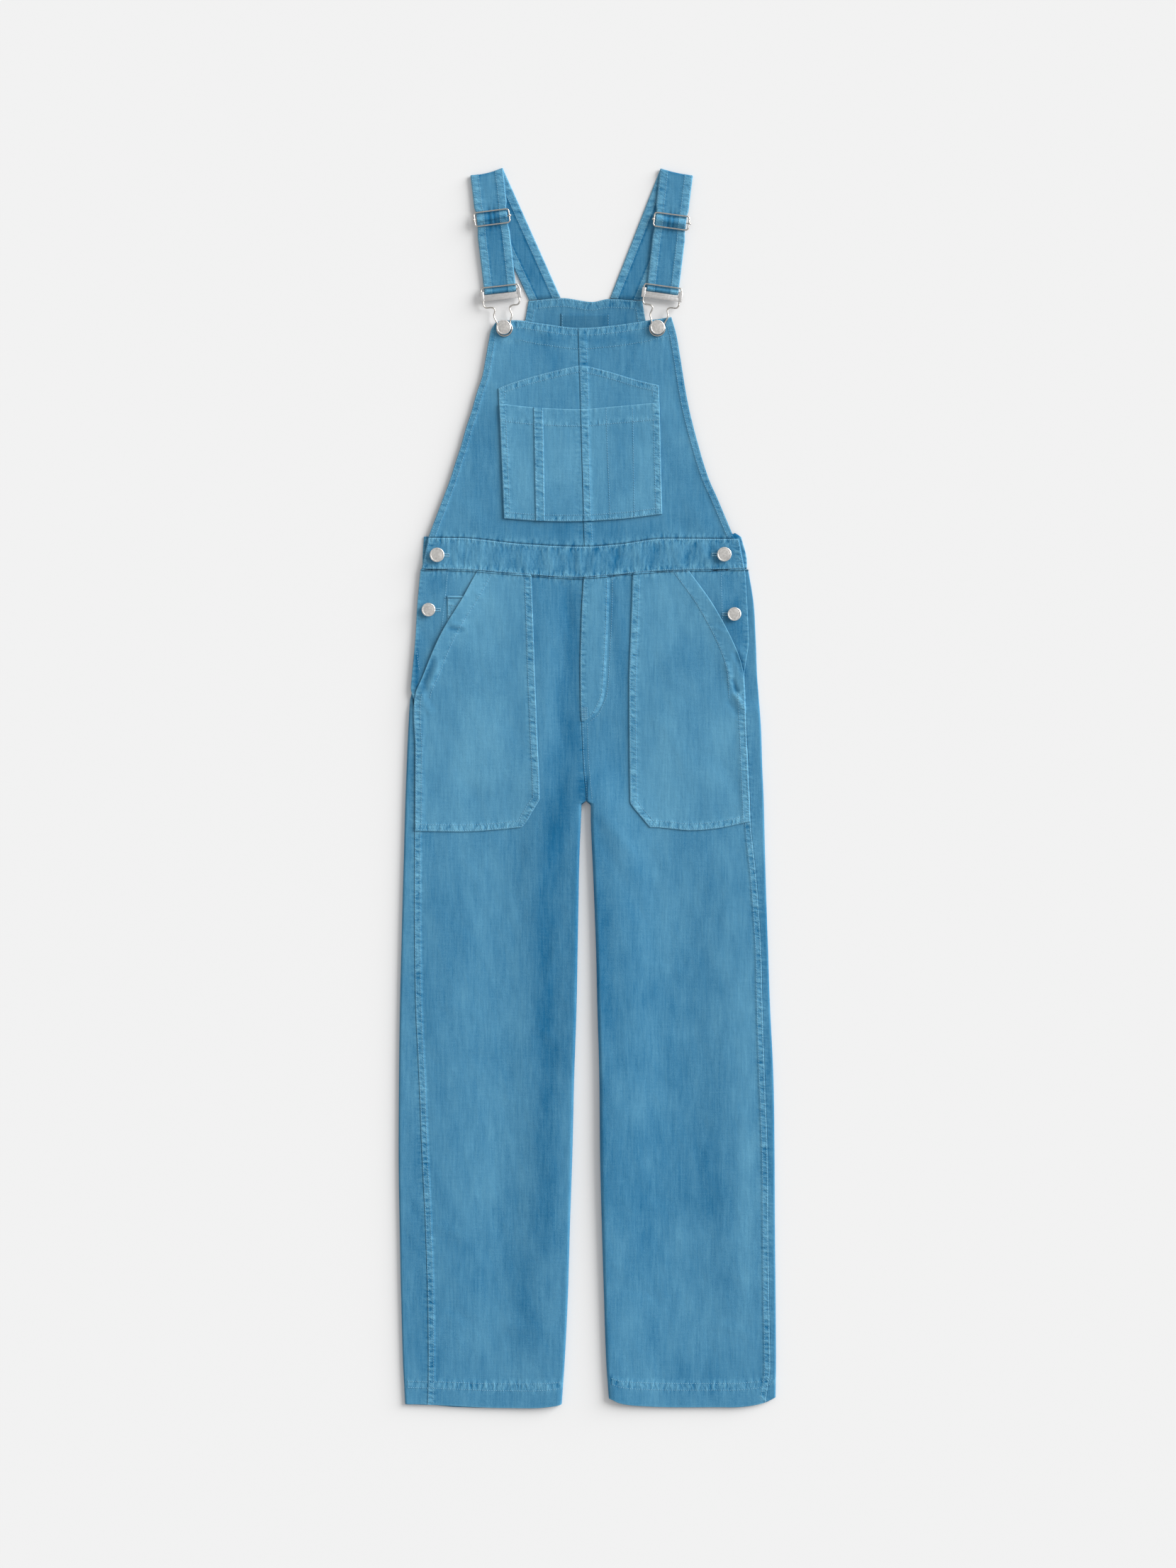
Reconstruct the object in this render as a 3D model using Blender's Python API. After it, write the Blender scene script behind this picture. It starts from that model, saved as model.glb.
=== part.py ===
"""Bib overalls in cotton twill, laid flat on their back with the straps up.

X runs across the garment, Y from the hems to the shoulder folds and Z up from the floor it lies on.
The origin is the middle of its box, on the floor. Sizes in the tables are millimetres: x from that
middle and height above the lowest point of the hems. Left means the side at -X.
"""

import math
from collections import namedtuple

import bmesh
import bpy
from mathutils import Vector

MM = 0.001
LENGTH = 1434.0
CLOTH = 1.2
GAP = 0.3
SEAM = GAP / 2

# Heights that divide the garment
HEM_FOLD = 25.0
CROTCH = 701.0
PLACKET_FOOT = 826.0
BACK_PLACKET_FOOT = 823.0
WAIST_LOW = 965.0
WAIST_HIGH = 1004.5
BIB_TOP = 1257.0

# Added thickness where the cloth is turned or felled
HEM_RISE = 0.5
FELL_RISE = 0.4
FELL_WIDTH = 7.6
BACK_SHARES = (0.09, 0.22, 0.42, 0.7, 1.0)
BIB_HEM_WIDTH = 8.4
BAND_RISE = 1.0
BAND_CLOTH = 2.4
BACK_BAND_CLOTH = 2.0
BACK_BIB_CLOTH = 1.4
POCKET_CLOTH = 0.9
STRAP_CLOTH = 1.5
LABEL_CLOTH = 0.8

# Metal parts
WIRE = 0.9
WIRE_RESOLUTION = 1
BUTTON_RADIUS = 8.5
SIDE_BUTTON_RADIUS = 8.0
BUTTON_SEGMENTS = 16

# Height of the upper face of the front layer, by height on the garment
Level = namedtuple("Level", "height z")
LEVELS = (
    Level(0, 4.5),
    Level(300, 4.7),
    Level(700, 4.9),
    Level(1005, 4.8),
    Level(1070, 4.4),
    Level(1260, 3.9),
)

# The large soft folds: from one end to the other, half width and rise (trough below zero)
Fold = namedtuple("Fold", "x0 height0 x1 height1 width rise")
FOLDS = (
    Fold(-23, 950, -33, 700, 11, -1.1),
    Fold(-33, 700, -46, 380, 13, -0.9),
    Fold(-46, 900, -62, 560, 15, 0.8),
    Fold(-154, 620, -148, 80, 30, 0.9),
    Fold(-105, 610, -92, 120, 24, -0.7),
    Fold(-50, 330, -62, 60, 18, 0.6),
    Fold(8, 690, 33, 400, 12, -0.9),
    Fold(44, 660, 62, 240, 22, 0.9),
    Fold(108, 600, 132, 90, 24, -0.8),
    Fold(164, 640, 172, 100, 22, 0.7),
    Fold(30, 800, 44, 700, 12, -0.6),
    Fold(-8, 735, -62, 600, 10, 0.5),
    Fold(0, 735, 60, 610, 10, 0.5),
    Fold(-130, 880, -120, 720, 26, 0.6),
    Fold(110, 880, 120, 720, 26, 0.6),
    Fold(-78, 1215, -112, 1120, 16, 0.5),
    Fold(66, 1215, 104, 1120, 16, 0.5),
    Fold(-40, 1225, 30, 1225, 12, -0.4),
)

# Lower legs and hips: outline, side seam and inner edge of each side
Leg = namedtuple("Leg", "height outer seam inner")
LEFT_LEG = (
    Leg(0, -210.5, -185.0, -29.5),
    Leg(45, -212.8, -184.1, -26.6),
    Leg(127, -215.2, -184.9, -22.5),
    Leg(209, -216.9, -187.4, -20.1),
    Leg(294, -218.1, -191.5, -17.2),
    Leg(380, -217.7, -194.8, -15.2),
    Leg(467, -216.5, -198.8, -12.3),
    Leg(553, -214.4, -200.0, -10.7),
    Leg(640, -212.0, -200.0, -9.0),
    Leg(700, -210.3, -199.8, -6.6),
    Leg(783, -207.0, -199.4, -6.6),
    Leg(824, -204.6, -199.2, -8.2),
    Leg(845, -202.9, -202.9, -8.6),
    Leg(886, -199.0, -199.0, -8.2),
    Leg(927, -196.4, -196.4, -7.0),
    Leg(965, -192.7, -192.7, -4.9),
)
RIGHT_LEG = (
    Leg(0, 217.6, 206.4, 24.8),
    Leg(46, 218.1, 211.6, 22.1),
    Leg(127, 217.7, 210.3, 19.3),
    Leg(209, 216.9, 209.5, 16.8),
    Leg(291, 216.5, 208.7, 14.8),
    Leg(380, 215.2, 205.4, 13.9),
    Leg(467, 211.1, 202.6, 11.5),
    Leg(525, 209.1, 201.3, 10.2),
    Leg(611, 206.2, 195.6, 7.0),
    Leg(676, 204.6, 189.0, 4.1),
    Leg(700, 204.0, 188.2, 3.6),
    Leg(745, 202.1, 186.1, -4.1),
    Leg(783, 200.9, 184.1, -6.6),
    Leg(824, 198.0, 182.9, -8.2),
    Leg(845, 196.4, 181.8, -8.6),
    Leg(886, 194.8, 186.5, -8.2),
    Leg(927, 192.3, 184.9, -7.0),
    Leg(965, 186.0, 182.4, -4.9),
)

# Line of the hem ends, each leg hanging a little differently
Edge = namedtuple("Edge", "x height")
HEM_ENDS = (
    Edge(-218, 4.6),
    Edge(-185, 3.8),
    Edge(-97, 0.0),
    Edge(-36, 2.4),
    Edge(-28, 5.0),
    Edge(24, 11.0),
    Edge(37, 5.7),
    Edge(68, 1.9),
    Edge(150, 0.8),
    Edge(179, 1.2),
    Edge(205, 6.2),
    Edge(218, 12.5),
)

# The two edges of the waistband and the upper edge of the bib
BAND_LOW = (
    Edge(-192, 969.5),
    Edge(-136, 968.1),
    Edge(-79, 963.5),
    Edge(-14, 959.6),
    Edge(34, 962.7),
    Edge(77, 966.6),
    Edge(182, 969.5),
)
BAND_HIGH = (
    Edge(-184, 1005.7),
    Edge(-136, 1004.8),
    Edge(-79, 998.8),
    Edge(-5, 995.5),
    Edge(34, 997.9),
    Edge(91, 1004.8),
    Edge(176, 1004.3),
)
BIB_UPPER = (
    Edge(-110, 1255.0),
    Edge(-83, 1257.1),
    Edge(-53, 1253.3),
    Edge(-8, 1248.2),
    Edge(27, 1250.7),
    Edge(72, 1257.1),
    Edge(98, 1260.8),
)

Span = namedtuple("Span", "height left right")
BAND_ENDS = (Span(960, -192.4, 182.6), Span(1006, -183.3, 175.1))
BACK_BAND_ENDS = (Span(960, -190.4, 184.6), Span(982, -190.4, 183.9), Span(1006, -189.0, 178.0))
BIB_SIDES = (
    Span(995, -186.0, 174.5),
    Span(1008, -182.4, 168.5),
    Span(1029, -174.7, 159.5),
    Span(1050, -166.9, 150.5),
    Span(1070, -159.5, 141.4),
    Span(1091, -152.9, 134.1),
    Span(1111, -146.4, 128.3),
    Span(1132, -140.6, 122.6),
    Span(1152, -134.1, 117.7),
    Span(1173, -128.3, 113.6),
    Span(1193, -121.8, 110.3),
    Span(1214, -117.7, 107.0),
    Span(1237, -113.6, 102.9),
    Span(1249, -110.8, 99.6),
    Span(1257, -105.5, 97.2),
    Span(1261, -104.5, 96.6),
)
BIB_SEAM = (Edge(995, -3.0), Edge(1026, -4.5), Edge(1155, -8.0), Edge(1261, -10.9))
BACK_BIB_SIDES = (
    Span(1006, -168.0, 158.0),
    Span(1060, -134.0, 126.0),
    Span(1120, -106.0, 99.0),
    Span(1180, -88.0, 83.0),
    Span(1230, -78.0, 73.0),
    Span(1258, -72.6, 67.6),
    Span(1283, -68.1, 63.5),
)
BACK_BIB_UPPER = (
    Edge(-68, 1279.8),
    Edge(-29, 1283.0),
    Edge(6, 1278.6),
    Edge(25, 1282.0),
    Edge(64, 1279.8),
)

# Bib pocket: the peaked layer, and the layer over it with its mouth lower down
POCKET_SIDES = (Span(0.0, -96.3, 86.5), Span(1.0, -102.9, 82.7))
OVER_SIDES = (Span(0.0, -96.3, 86.5), Span(1.0, -101.9, 83.4))
POCKET_PEAK = (
    Edge(-103, 1178.3),
    Edge(-86, 1185.0),
    Edge(-50, 1195.4),
    Edge(-22, 1202.2),
    Edge(-9, 1204.6),
    Edge(20, 1198.9),
    Edge(56, 1188.3),
    Edge(83, 1181.6),
)
POCKET_MOUTH = (
    Edge(-102, 1160.6),
    Edge(-62, 1156.2),
    Edge(-8, 1154.1),
    Edge(29, 1157.0),
    Edge(84, 1161.9),
)
POCKET_FOOT = (
    Edge(-96, 1027.8),
    Edge(-68, 1025.5),
    Edge(-26, 1024.2),
    Edge(38, 1027.0),
    Edge(87, 1033.0),
)
POCKET_HEM = 19.5
PENCIL_LAP = (Span(0.0, -59.6, -48.8), Span(1.0, -62.2, -51.2))

# Hip pockets: mouth and side edge against inner edge
LEFT_HIP = (
    Span(667.5, -199.4, -76.0),
    Span(671.6, -199.4, -71.8),
    Span(686, -199.3, -63.4),
    Span(701, -199.2, -54.9),
    Span(760, -199.0, -57.0),
    Span(826, -198.6, -59.7),
    Span(841, -192.3, -60.3),
    Span(895, -168.9, -62.0),
    Span(936, -143.1, -63.4),
    Span(960, -130.0, -64.3),
    Span(970, -124.2, -64.6),
)
RIGHT_HIP = (
    Span(670.5, 72.4, 188.2),
    Span(686, 59.8, 187.8),
    Span(698.6, 49.6, 187.5),
    Span(760, 48.4, 184.8),
    Span(840, 48.0, 181.0),
    Span(851, 48.3, 180.0),
    Span(876, 49.2, 172.5),
    Span(924, 51.0, 146.9),
    Span(960, 52.2, 120.8),
    Span(970, 52.5, 113.6),
)
HIP_MOUTH_LOW = 826.0
HIP_HEM = 19.0
GAPE = 2.0
GAPE_REACH = 45.0
COIN = (Span(892, -161.8, -160.0), Span(906, -161.8, -152.4), Span(938, -161.8, -132.8))
COIN_CLOTH = 0.8
FLY = (
    Span(793.5, -6.8, -4.6),
    Span(797, -7.2, 3.0),
    Span(802, -7.6, 9.6),
    Span(810, -7.9, 15.4),
    Span(825, -8.1, 20.1),
    Span(860, -8.3, 22.2),
    Span(906, -7.2, 24.6),
    Span(965, -4.6, 26.0),
)
LABEL = (Span(1236, -30.7, 25.8), Span(1265.3, -30.7, 25.8))

# Straps: the two cut edges of each strip where it leaves the back bib and at the shoulder fold
Strip = namedtuple("Strip", "x0 height0 x1 height1")
LEFT_STRAP_FOOT = Strip(-67.4, 1280.4, -30.9, 1283.4)
LEFT_STRAP_FOLD = Strip(-134.9, 1423.0, -97.2, 1431.7)
RIGHT_STRAP_FOOT = Strip(26.0, 1282.4, 63.0, 1280.4)
RIGHT_STRAP_FOLD = Strip(84.0, 1430.9, 121.8, 1422.6)
STRAP_HALF = 18.4
STRAP_SHARES = (0.0, 0.24, 0.34, 0.66, 0.76, 1.0)
STRAP_RISE = (0.25, 0.25, 0.0, 0.0, 0.25, 0.25)

# Heights of the middle of the strip, from the floor, along its way
BACK_RUN_Z = STRAP_CLOTH / 2 + 0.25
FRONT_RUN_Z = BACK_RUN_Z + STRAP_CLOTH + 0.85
RETURN_Z = 1.2

Frame = namedtuple("Frame", "x height tilt")
LEFT_SLIDER = Frame(-110.3, 1375.2, 7.2)
RIGHT_SLIDER = Frame(97.2, 1371.0, -7.6)
LEFT_BUCKLE = Frame(-99.5, 1280.5, 6.4)
RIGHT_BUCKLE = Frame(85.5, 1280.6, -8.0)
SLIDER_HALF_WIDTH = 20.2
SLIDER_HALF_HEIGHT = 8.0
SLIDER_CORNER = 3.0
SLIDER_Z_TOP = 6.1
SLIDER_Z_LOW = 6.7
SLIDER_BAR_Z = 5.3
SLIDER_BAR = 0.8
SLIDER_KNOB = 1.5
STRAP_AT_SLIDER = 0.94

BUCKLE_Z = 5.8
BUCKLE_BAR_Z = 3.45
BUCKLE_BAR_UP = 11.0
BUCKLE_BAR = 1.0

# One half of the bent wire below the plate, from its ear to the keyhole, and the keyhole's circle
Point = namedtuple("Point", "across up")
HOOK = (
    Point(20.9, -0.5),
    Point(20.8, -4.4),
    Point(18.2, -7.5),
    Point(12.0, -7.8),
    Point(8.9, -9.9),
    Point(9.0, -13.1),
    Point(10.2, -16.9),
    Point(9.9, -20.6),
    Point(7.9, -25.4),
)
KEYHOLE_DOWN = 33.4
KEYHOLE_RADIUS = 8.7
PLATE_HALF = 23.6
EAR_WIDTH = 4.3
EAR_TOP = 11.4
PLATE_TOP = 7.2
RIDGE_TOP = 4.4

Button = namedtuple("Button", "name x height radius lift")
BUTTONS = (
    Button("bib_button_left", -96.6, 1248.4, BUTTON_RADIUS, 0.5),
    Button("bib_button_right", 81.0, 1248.4, BUTTON_RADIUS, 0.5),
    Button("waist_button_left", -173.4, 985.5, BUTTON_RADIUS, 1.0),
    Button("waist_button_right", 158.0, 986.2, BUTTON_RADIUS, 1.0),
    Button("side_button_left", -183.3, 922.3, SIDE_BUTTON_RADIUS, 0.0),
    Button("side_button_right", 169.7, 917.3, SIDE_BUTTON_RADIUS, 0.0),
)

TWILL = (0.085, 0.278, 0.455, 1.0)
TWILL_INSIDE = (0.065, 0.235, 0.410, 1.0)
NICKEL = (0.58, 0.56, 0.53, 1.0)


def paint(name, colour, roughness, metallic):
    """A finish for one piece."""
    finish = bpy.data.materials.new(name)
    finish.use_nodes = True
    shader = finish.node_tree.nodes["Principled BSDF"]
    shader.inputs["Base Color"].default_value = colour
    shader.inputs["Roughness"].default_value = roughness
    shader.inputs["Metallic"].default_value = metallic
    finish.diffuse_color = colour
    return finish


def add_piece(name, mesh, colour=TWILL, roughness=0.9, metallic=0.0):
    """Puts a mesh in the scene as one named piece with its own finish."""
    piece = bpy.data.objects.new(name, mesh)
    piece.data.materials.append(paint(name, colour, roughness, metallic))
    bpy.context.collection.objects.link(piece)
    return piece


def smooth_step(value):
    value = min(1.0, max(0.0, value))
    return value * value * (3 - 2 * value)


def between(low, high, share):
    return low + (high - low) * share


def read(table, key, column):
    """A column of a table at any place along its first column, on a smooth curve through its rows."""
    keys = [row[0] for row in table]
    values = [getattr(row, column) for row in table]
    if key <= keys[0]:
        return values[0]
    if key >= keys[-1]:
        return values[-1]
    i = max(k for k in range(len(keys) - 1) if keys[k] <= key)
    steps = [(values[k + 1] - values[k]) / (keys[k + 1] - keys[k]) for k in range(len(keys) - 1)]

    def slope(k):
        before = steps[max(k - 1, 0)]
        after = steps[min(k, len(steps) - 1)]
        return 0.0 if before * after < 0 else (before + after) / 2

    width = keys[i + 1] - keys[i]
    t = (key - keys[i]) / width
    start, end = slope(i) * width, slope(i + 1) * width
    rise = values[i + 1] - values[i]
    return values[i] + t * (start + t * (3 * rise - 2 * start - end + t * (start + end - 2 * rise)))


def lay(x, height):
    """Upper face of the front layer above the floor, with its soft folds."""
    z = read(LEVELS, height, "z")
    for fold in FOLDS:
        along = Vector((fold.x1 - fold.x0, fold.height1 - fold.height0))
        away = Vector((x - fold.x0, height - fold.height0))
        share = away.dot(along) / along.length_squared
        ends = smooth_step(share * 4 + 0.5) * smooth_step((1 - share) * 4 + 0.5)
        off = (away - along * share).length / fold.width
        z += fold.rise * ends * math.exp(-off * off / 2)
    return z


def place(x, height, z):
    """Millimetres on the garment to metres in the part's own frame."""
    return Vector((x, height - LENGTH / 2, z)) * MM


def loft(name, faces, backs, colour=TWILL):
    """A closed wall between two grids of points, its face and its back, row by row."""
    mesh = bpy.data.meshes.new(name)
    build = bmesh.new()
    sides = [[[build.verts.new(p) for p in row] for row in grid] for grid in (faces, backs)]
    rows, columns = len(faces), len(faces[0])
    for i in range(rows - 1):
        for j in range(columns - 1):
            for grid in sides:
                a, b, c, d = grid[i][j], grid[i][j + 1], grid[i + 1][j + 1], grid[i + 1][j]
                build.faces.new((a, b, c))
                build.faces.new((a, c, d))
    face, back = sides
    around = [(i, 0) for i in range(rows)] + [(rows - 1, j) for j in range(1, columns)]
    around += [(i, columns - 1) for i in range(rows - 2, -1, -1)]
    around += [(0, j) for j in range(columns - 2, 0, -1)]
    for k, (i, j) in enumerate(around):
        m, n = around[(k + 1) % len(around)]
        build.faces.new((face[i][j], face[m][n], back[m][n], back[i][j]))
    bmesh.ops.recalc_face_normals(build, faces=build.faces)
    build.to_mesh(mesh)
    build.free()
    return add_piece(name, mesh, colour)


def spread(start, end, near_start, steps, near_end):
    """Places across a panel: fixed distances in from each edge and equal steps between."""
    way = 1.0 if end > start else -1.0
    first = [start + way * d for d in near_start]
    last = [end - way * d for d in reversed(near_end)]
    low = first[-1]
    high = last[0]
    middle = [between(low, high, k / steps) for k in range(1, steps)]
    return first + middle + last


def panel(name, rows, shape, cloth, colour=TWILL):
    """A wall over rows of (x, height, rise); shape gives the level of its under face at a point."""
    faces, backs = [], []
    for row in rows:
        under = [shape(x, height) for x, height, _ in row]
        faces.append([place(x, h, z + cloth + rise) for (x, h, rise), z in zip(row, under)])
        backs.append([place(x, h, z) for (x, h, _), z in zip(row, under)])
    return loft(name, faces, backs, colour)


def leg_rows(foot):
    """Heights of the sections of a leg and hip, closer where the shape changes; foot is the height
    at which this layer's side edge turns from a seam into the open placket."""
    rows = [0.0, HEM_FOLD - 0.5, HEM_FOLD + 0.5]
    rows += [HEM_FOLD + 42 + 44 * k for k in range(14)]
    rows += [677.0, CROTCH - 2.5, CROTCH + 2.5]
    rows += [CROTCH + 32 + 32 * k for k in range(3)]
    rows += [foot - 0.8, foot + 0.8]
    rows += [848.0, 876.0, 905.0, 935.0, WAIST_LOW]
    return rows


def leg_height(x, row):
    """Height of a point of a leg's section: the hem's own line at the foot, the waist seam at the top."""
    at_hem = read(HEM_ENDS, x, "height") * smooth_step((70 - row) / 70)
    under_band = (read(BAND_LOW, x, "height") - GAP - WAIST_LOW) * smooth_step((row - 880) / 85)
    return row + at_hem + under_band


def inner_fold(leg, row, way, upper):
    """Section of the inner edge: round below the crotch, flat at the centre seam above it."""
    edge = read(leg, row, "inner")
    full = lay(edge + way * 2.0, row)
    radius = full / 2 - SEAM
    points = []
    for k in range(3):
        angle = math.radians(45 * k)
        if row > CROTCH:
            seam = (read(LEFT_LEG, row, "inner") + read(RIGHT_LEG, row, "inner")) / 2
            x = seam + way * (SEAM + k * 1.7)
            top = lay(x, row)
            outer, inner = (x, top if upper else 0.0), (x, top - CLOTH if upper else CLOTH)
        else:
            centre_x = edge + way * radius
            small = radius - CLOTH
            centre_z = full - radius if upper else radius
            up = 1.0 if upper else -1.0
            side, rise = math.cos(angle), math.sin(angle)
            outer = (centre_x - way * radius * side, centre_z + up * radius * rise)
            inner = (centre_x - way * small * side, centre_z + up * small * rise)
        points.append((outer, inner))
    return points


def front_panel(name, leg, way):
    """Front of one leg and hip, from the inner fold or centre seam to the side seam."""
    faces, backs = [], []
    for row in leg_rows(PLACKET_FOOT):
        section = inner_fold(leg, row, way, True)
        start = section[-1][0][0]
        end = read(leg, row, "seam") - way * SEAM
        if row > PLACKET_FOOT and way < 0:
            end = read(leg, row, "outer")
        hem = HEM_RISE if row < HEM_FOLD else 0.0
        across = spread(start + way * 4.0, end, [0.0], 11, [0.0, FELL_WIDTH - 0.8, FELL_WIDTH])
        fell = FELL_RISE if row < PLACKET_FOOT else 0.0
        rises = [0.0] * (len(across) - 2) + [fell, fell]
        for x, rise in zip(across, rises):
            top = lay(x, row)
            section.append(((x, top + max(rise, hem)), (x, top - CLOTH)))
        faces.append([place(x, leg_height(x, row), z) for (x, z), _ in section])
        backs.append([place(x, leg_height(x, row), z) for _, (x, z) in section])
    return loft(name, faces, backs)


def back_panel(name, leg, way):
    """Back of one leg and hip: flat on the floor, turned up at the inner fold, and brought round
    the outer fold to the side seam on the front."""
    faces, backs = [], []
    for row in leg_rows(BACK_PLACKET_FOOT):
        section = inner_fold(leg, row, way, False)
        inner_x = section[-1][0][0]
        edge = read(leg, row, "outer")
        wrapped = row < BACK_PLACKET_FOOT
        seam = read(leg, row, "seam") + way * SEAM
        if not wrapped:
            edge -= way * (2.0 if way < 0 else 0.0)
            seam = edge - way * 3.2
        top = lay(edge - way * 3.0, row) if wrapped else 2.8
        radius = top / 2
        hub = edge - way * radius
        for x in [between(inner_x, hub, share) for share in BACK_SHARES]:
            section.append(((x, 0.0), (x, CLOTH)))
        for k in range(1, 5):
            angle = math.radians(45 * k - 90)
            side, up = math.cos(angle), math.sin(angle)
            small = radius - CLOTH
            outer = (hub + way * radius * side, radius + radius * up)
            section.append((outer, (hub + way * small * side, radius + small * up)))
        for k in (1, 2):
            x = between(hub, seam, k / 2)
            level = lay(x, row) if wrapped else top
            section.append(((x, level), (x, level - CLOTH)))
        faces.append([place(x, leg_height(x, row), z) for (x, z), _ in section])
        backs.append([place(x, leg_height(x, row), z) for _, (x, z) in section])
    return loft(name, faces, backs)


def waistbands():
    """Doubled bands round the waist: the front one stands proud of the cloth it joins."""
    shares = [k / 18 for k in range(19)]
    ups = (0.0, 0.12, 0.88, 1.0)
    thick = (0.0, 0.3, 0.3, 0.0)
    rows = []
    for up, rise in zip(ups, thick):
        nominal = between(WAIST_LOW, WAIST_HIGH, up)
        left, right = (read(BAND_ENDS, nominal, side) for side in ("left", "right"))
        row = []
        for share in shares:
            x = between(left, right, share)
            height = between(read(BAND_LOW, x, "height"), read(BAND_HIGH, x, "height"), up)
            row.append((x, height, rise))
        rows.append(row)
    panel(
        "waistband_front",
        rows,
        lambda x, h: lay(x, h) + BAND_RISE - 0.3 - BAND_CLOTH,
        BAND_CLOTH,
    )

    rows = []
    for up in (0.0, 0.45, 1.0):
        nominal = between(WAIST_LOW, WAIST_HIGH + 2, up)
        left, right = (read(BACK_BAND_ENDS, nominal, side) for side in ("left", "right"))
        row = []
        for share in shares:
            x = between(left, right, share)
            low = read(BAND_LOW, x, "height")
            high = read(BAND_HIGH, x, "height") + 1.5
            row.append((x, between(low, high, up), 0.0))
        rows.append(row)
    panel("waistband_back", rows, lambda x, h: 0.0, BACK_BAND_CLOTH)


def bib_half(name, way):
    """One half of the bib, between its hemmed side and the centre front seam."""
    rows = []
    ups = [k / 9 for k in range(9)] + [0.9, 0.912, 0.962, 1.0]
    for up in ups:
        nominal = between(WAIST_HIGH, BIB_TOP, up)
        side = read(BIB_SIDES, nominal, "left" if way < 0 else "right")
        seam = read(BIB_SEAM, nominal, "height") + way * SEAM
        near = [0.0, BIB_HEM_WIDTH - 0.8, BIB_HEM_WIDTH]
        across = spread(side, seam, near, 6, [0.0])
        top_hem = HEM_RISE if up > 0.905 else 0.0
        rises = [HEM_RISE, HEM_RISE] + [0.0] * (len(across) - 2)
        row = []
        for x, rise in zip(across, rises):
            low = read(BAND_HIGH, x, "height") + GAP
            height = between(low, read(BIB_UPPER, x, "height"), up)
            row.append((x, height, max(rise, top_hem)))
        rows.append(row)
    panel(name, rows, lambda x, h: lay(x, h) - CLOTH, CLOTH)


def back_bib():
    """High back of the garment, lying on the floor with its inside up."""
    rows = []
    for up, rise in ((0, 0), (0.25, 0), (0.6, 0), (0.955, 0), (0.965, 0.4), (1, 0.4)):
        nominal = between(WAIST_HIGH + 2, 1283, up)
        left, right = (read(BACK_BIB_SIDES, nominal, side) for side in ("left", "right"))
        row = []
        for share in [k / 16 for k in range(17)]:
            x = between(left, right, share)
            low = read(BAND_HIGH, x, "height") + 1.5 + GAP
            high = read(BACK_BIB_UPPER, x, "height")
            row.append((x, between(low, high, up), rise))
        rows.append(row)
    panel("back_bib", rows, lambda x, h: 0.0, BACK_BIB_CLOTH, TWILL_INSIDE)

    rows = []
    for height in (LABEL[0].height, LABEL[1].height):
        xs = [between(LABEL[0].left, LABEL[0].right, k / 4) for k in range(5)]
        rows.append([(x, height, 0.0) for x in xs])
    level = BACK_BIB_CLOTH + GAP
    panel("label_patch", rows, lambda x, h: level, LABEL_CLOTH - GAP, TWILL_INSIDE)


def pocket_rows(sides, upper, shares, ups):
    """Rows of a bib pocket layer between its foot and its upper edge; ups holds (share, rise)."""
    rows = []
    for up, rise in ups:
        left = between(sides[0].left, sides[1].left, up)
        right = between(sides[0].right, sides[1].right, up)
        row = []
        for share in shares:
            x = between(left, right, share)
            low, high = read(POCKET_FOOT, x, "height"), read(upper, x, "height")
            row.append((x, between(low, high, up), rise))
        rows.append(row)
    return rows


def bib_pocket():
    """Peaked under layer, the over layer in two halves and the narrow pencil lap."""
    ups = [(k / 5, 0.0) for k in range(6)]
    shares = [k / 12 for k in range(13)]
    under_step = GAP
    panel(
        "bib_pocket_under",
        pocket_rows(POCKET_SIDES, POCKET_PEAK, shares, ups),
        lambda x, h: lay(x, h) + under_step,
        POCKET_CLOTH,
    )
    over_step = under_step + POCKET_CLOTH + GAP
    hem = 1 - POCKET_HEM / 130
    ups = [(0.0, 0.0), (0.25, 0.0), (0.55, 0.0), (hem - 0.006, 0.0), (hem, 0.4), (1.0, 0.4)]
    seam_foot, seam_mouth = read(BIB_SEAM, 1025, "height"), read(BIB_SEAM, 1155, "height")
    halves = (
        ("bib_pocket_over_left", "left", -SEAM),
        ("bib_pocket_over_right", "right", SEAM),
    )
    for name, side, shift in halves:
        foot = getattr(OVER_SIDES[0], side)
        mouth = getattr(OVER_SIDES[1], side)
        ends = (
            Span(0.0, *sorted((foot, seam_foot + shift))),
            Span(1.0, *sorted((mouth, seam_mouth + shift))),
        )
        rows = pocket_rows(ends, POCKET_MOUTH, [k / 6 for k in range(7)], ups)
        panel(name, rows, lambda x, h: lay(x, h) + over_step, POCKET_CLOTH)
    lap_step = over_step + POCKET_CLOTH + GAP
    rows = pocket_rows(PENCIL_LAP, POCKET_MOUTH, [0.0, 0.5, 1.0], ups)
    panel(
        "pencil_pocket_lap",
        [[(x, h, 0.0) for x, h, _ in row] for row in rows],
        lambda x, h: lay(x, h) + lap_step + 0.4,
        POCKET_CLOTH,
    )


def mouth_gape(x, height, hip, side):
    """How far the pocket's slanted mouth stands off the panel beneath."""
    if height < HIP_MOUTH_LOW:
        return 0.0
    edge = read(hip, height, side)
    slant = math.cos(math.radians(32))
    away = min(1.0, abs(x - edge) * slant / GAPE_REACH)
    ends = smooth_step((height - HIP_MOUTH_LOW) / 40) * smooth_step((968 - height) / 36)
    return GAPE * ends * (1 - away) ** 2


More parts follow.
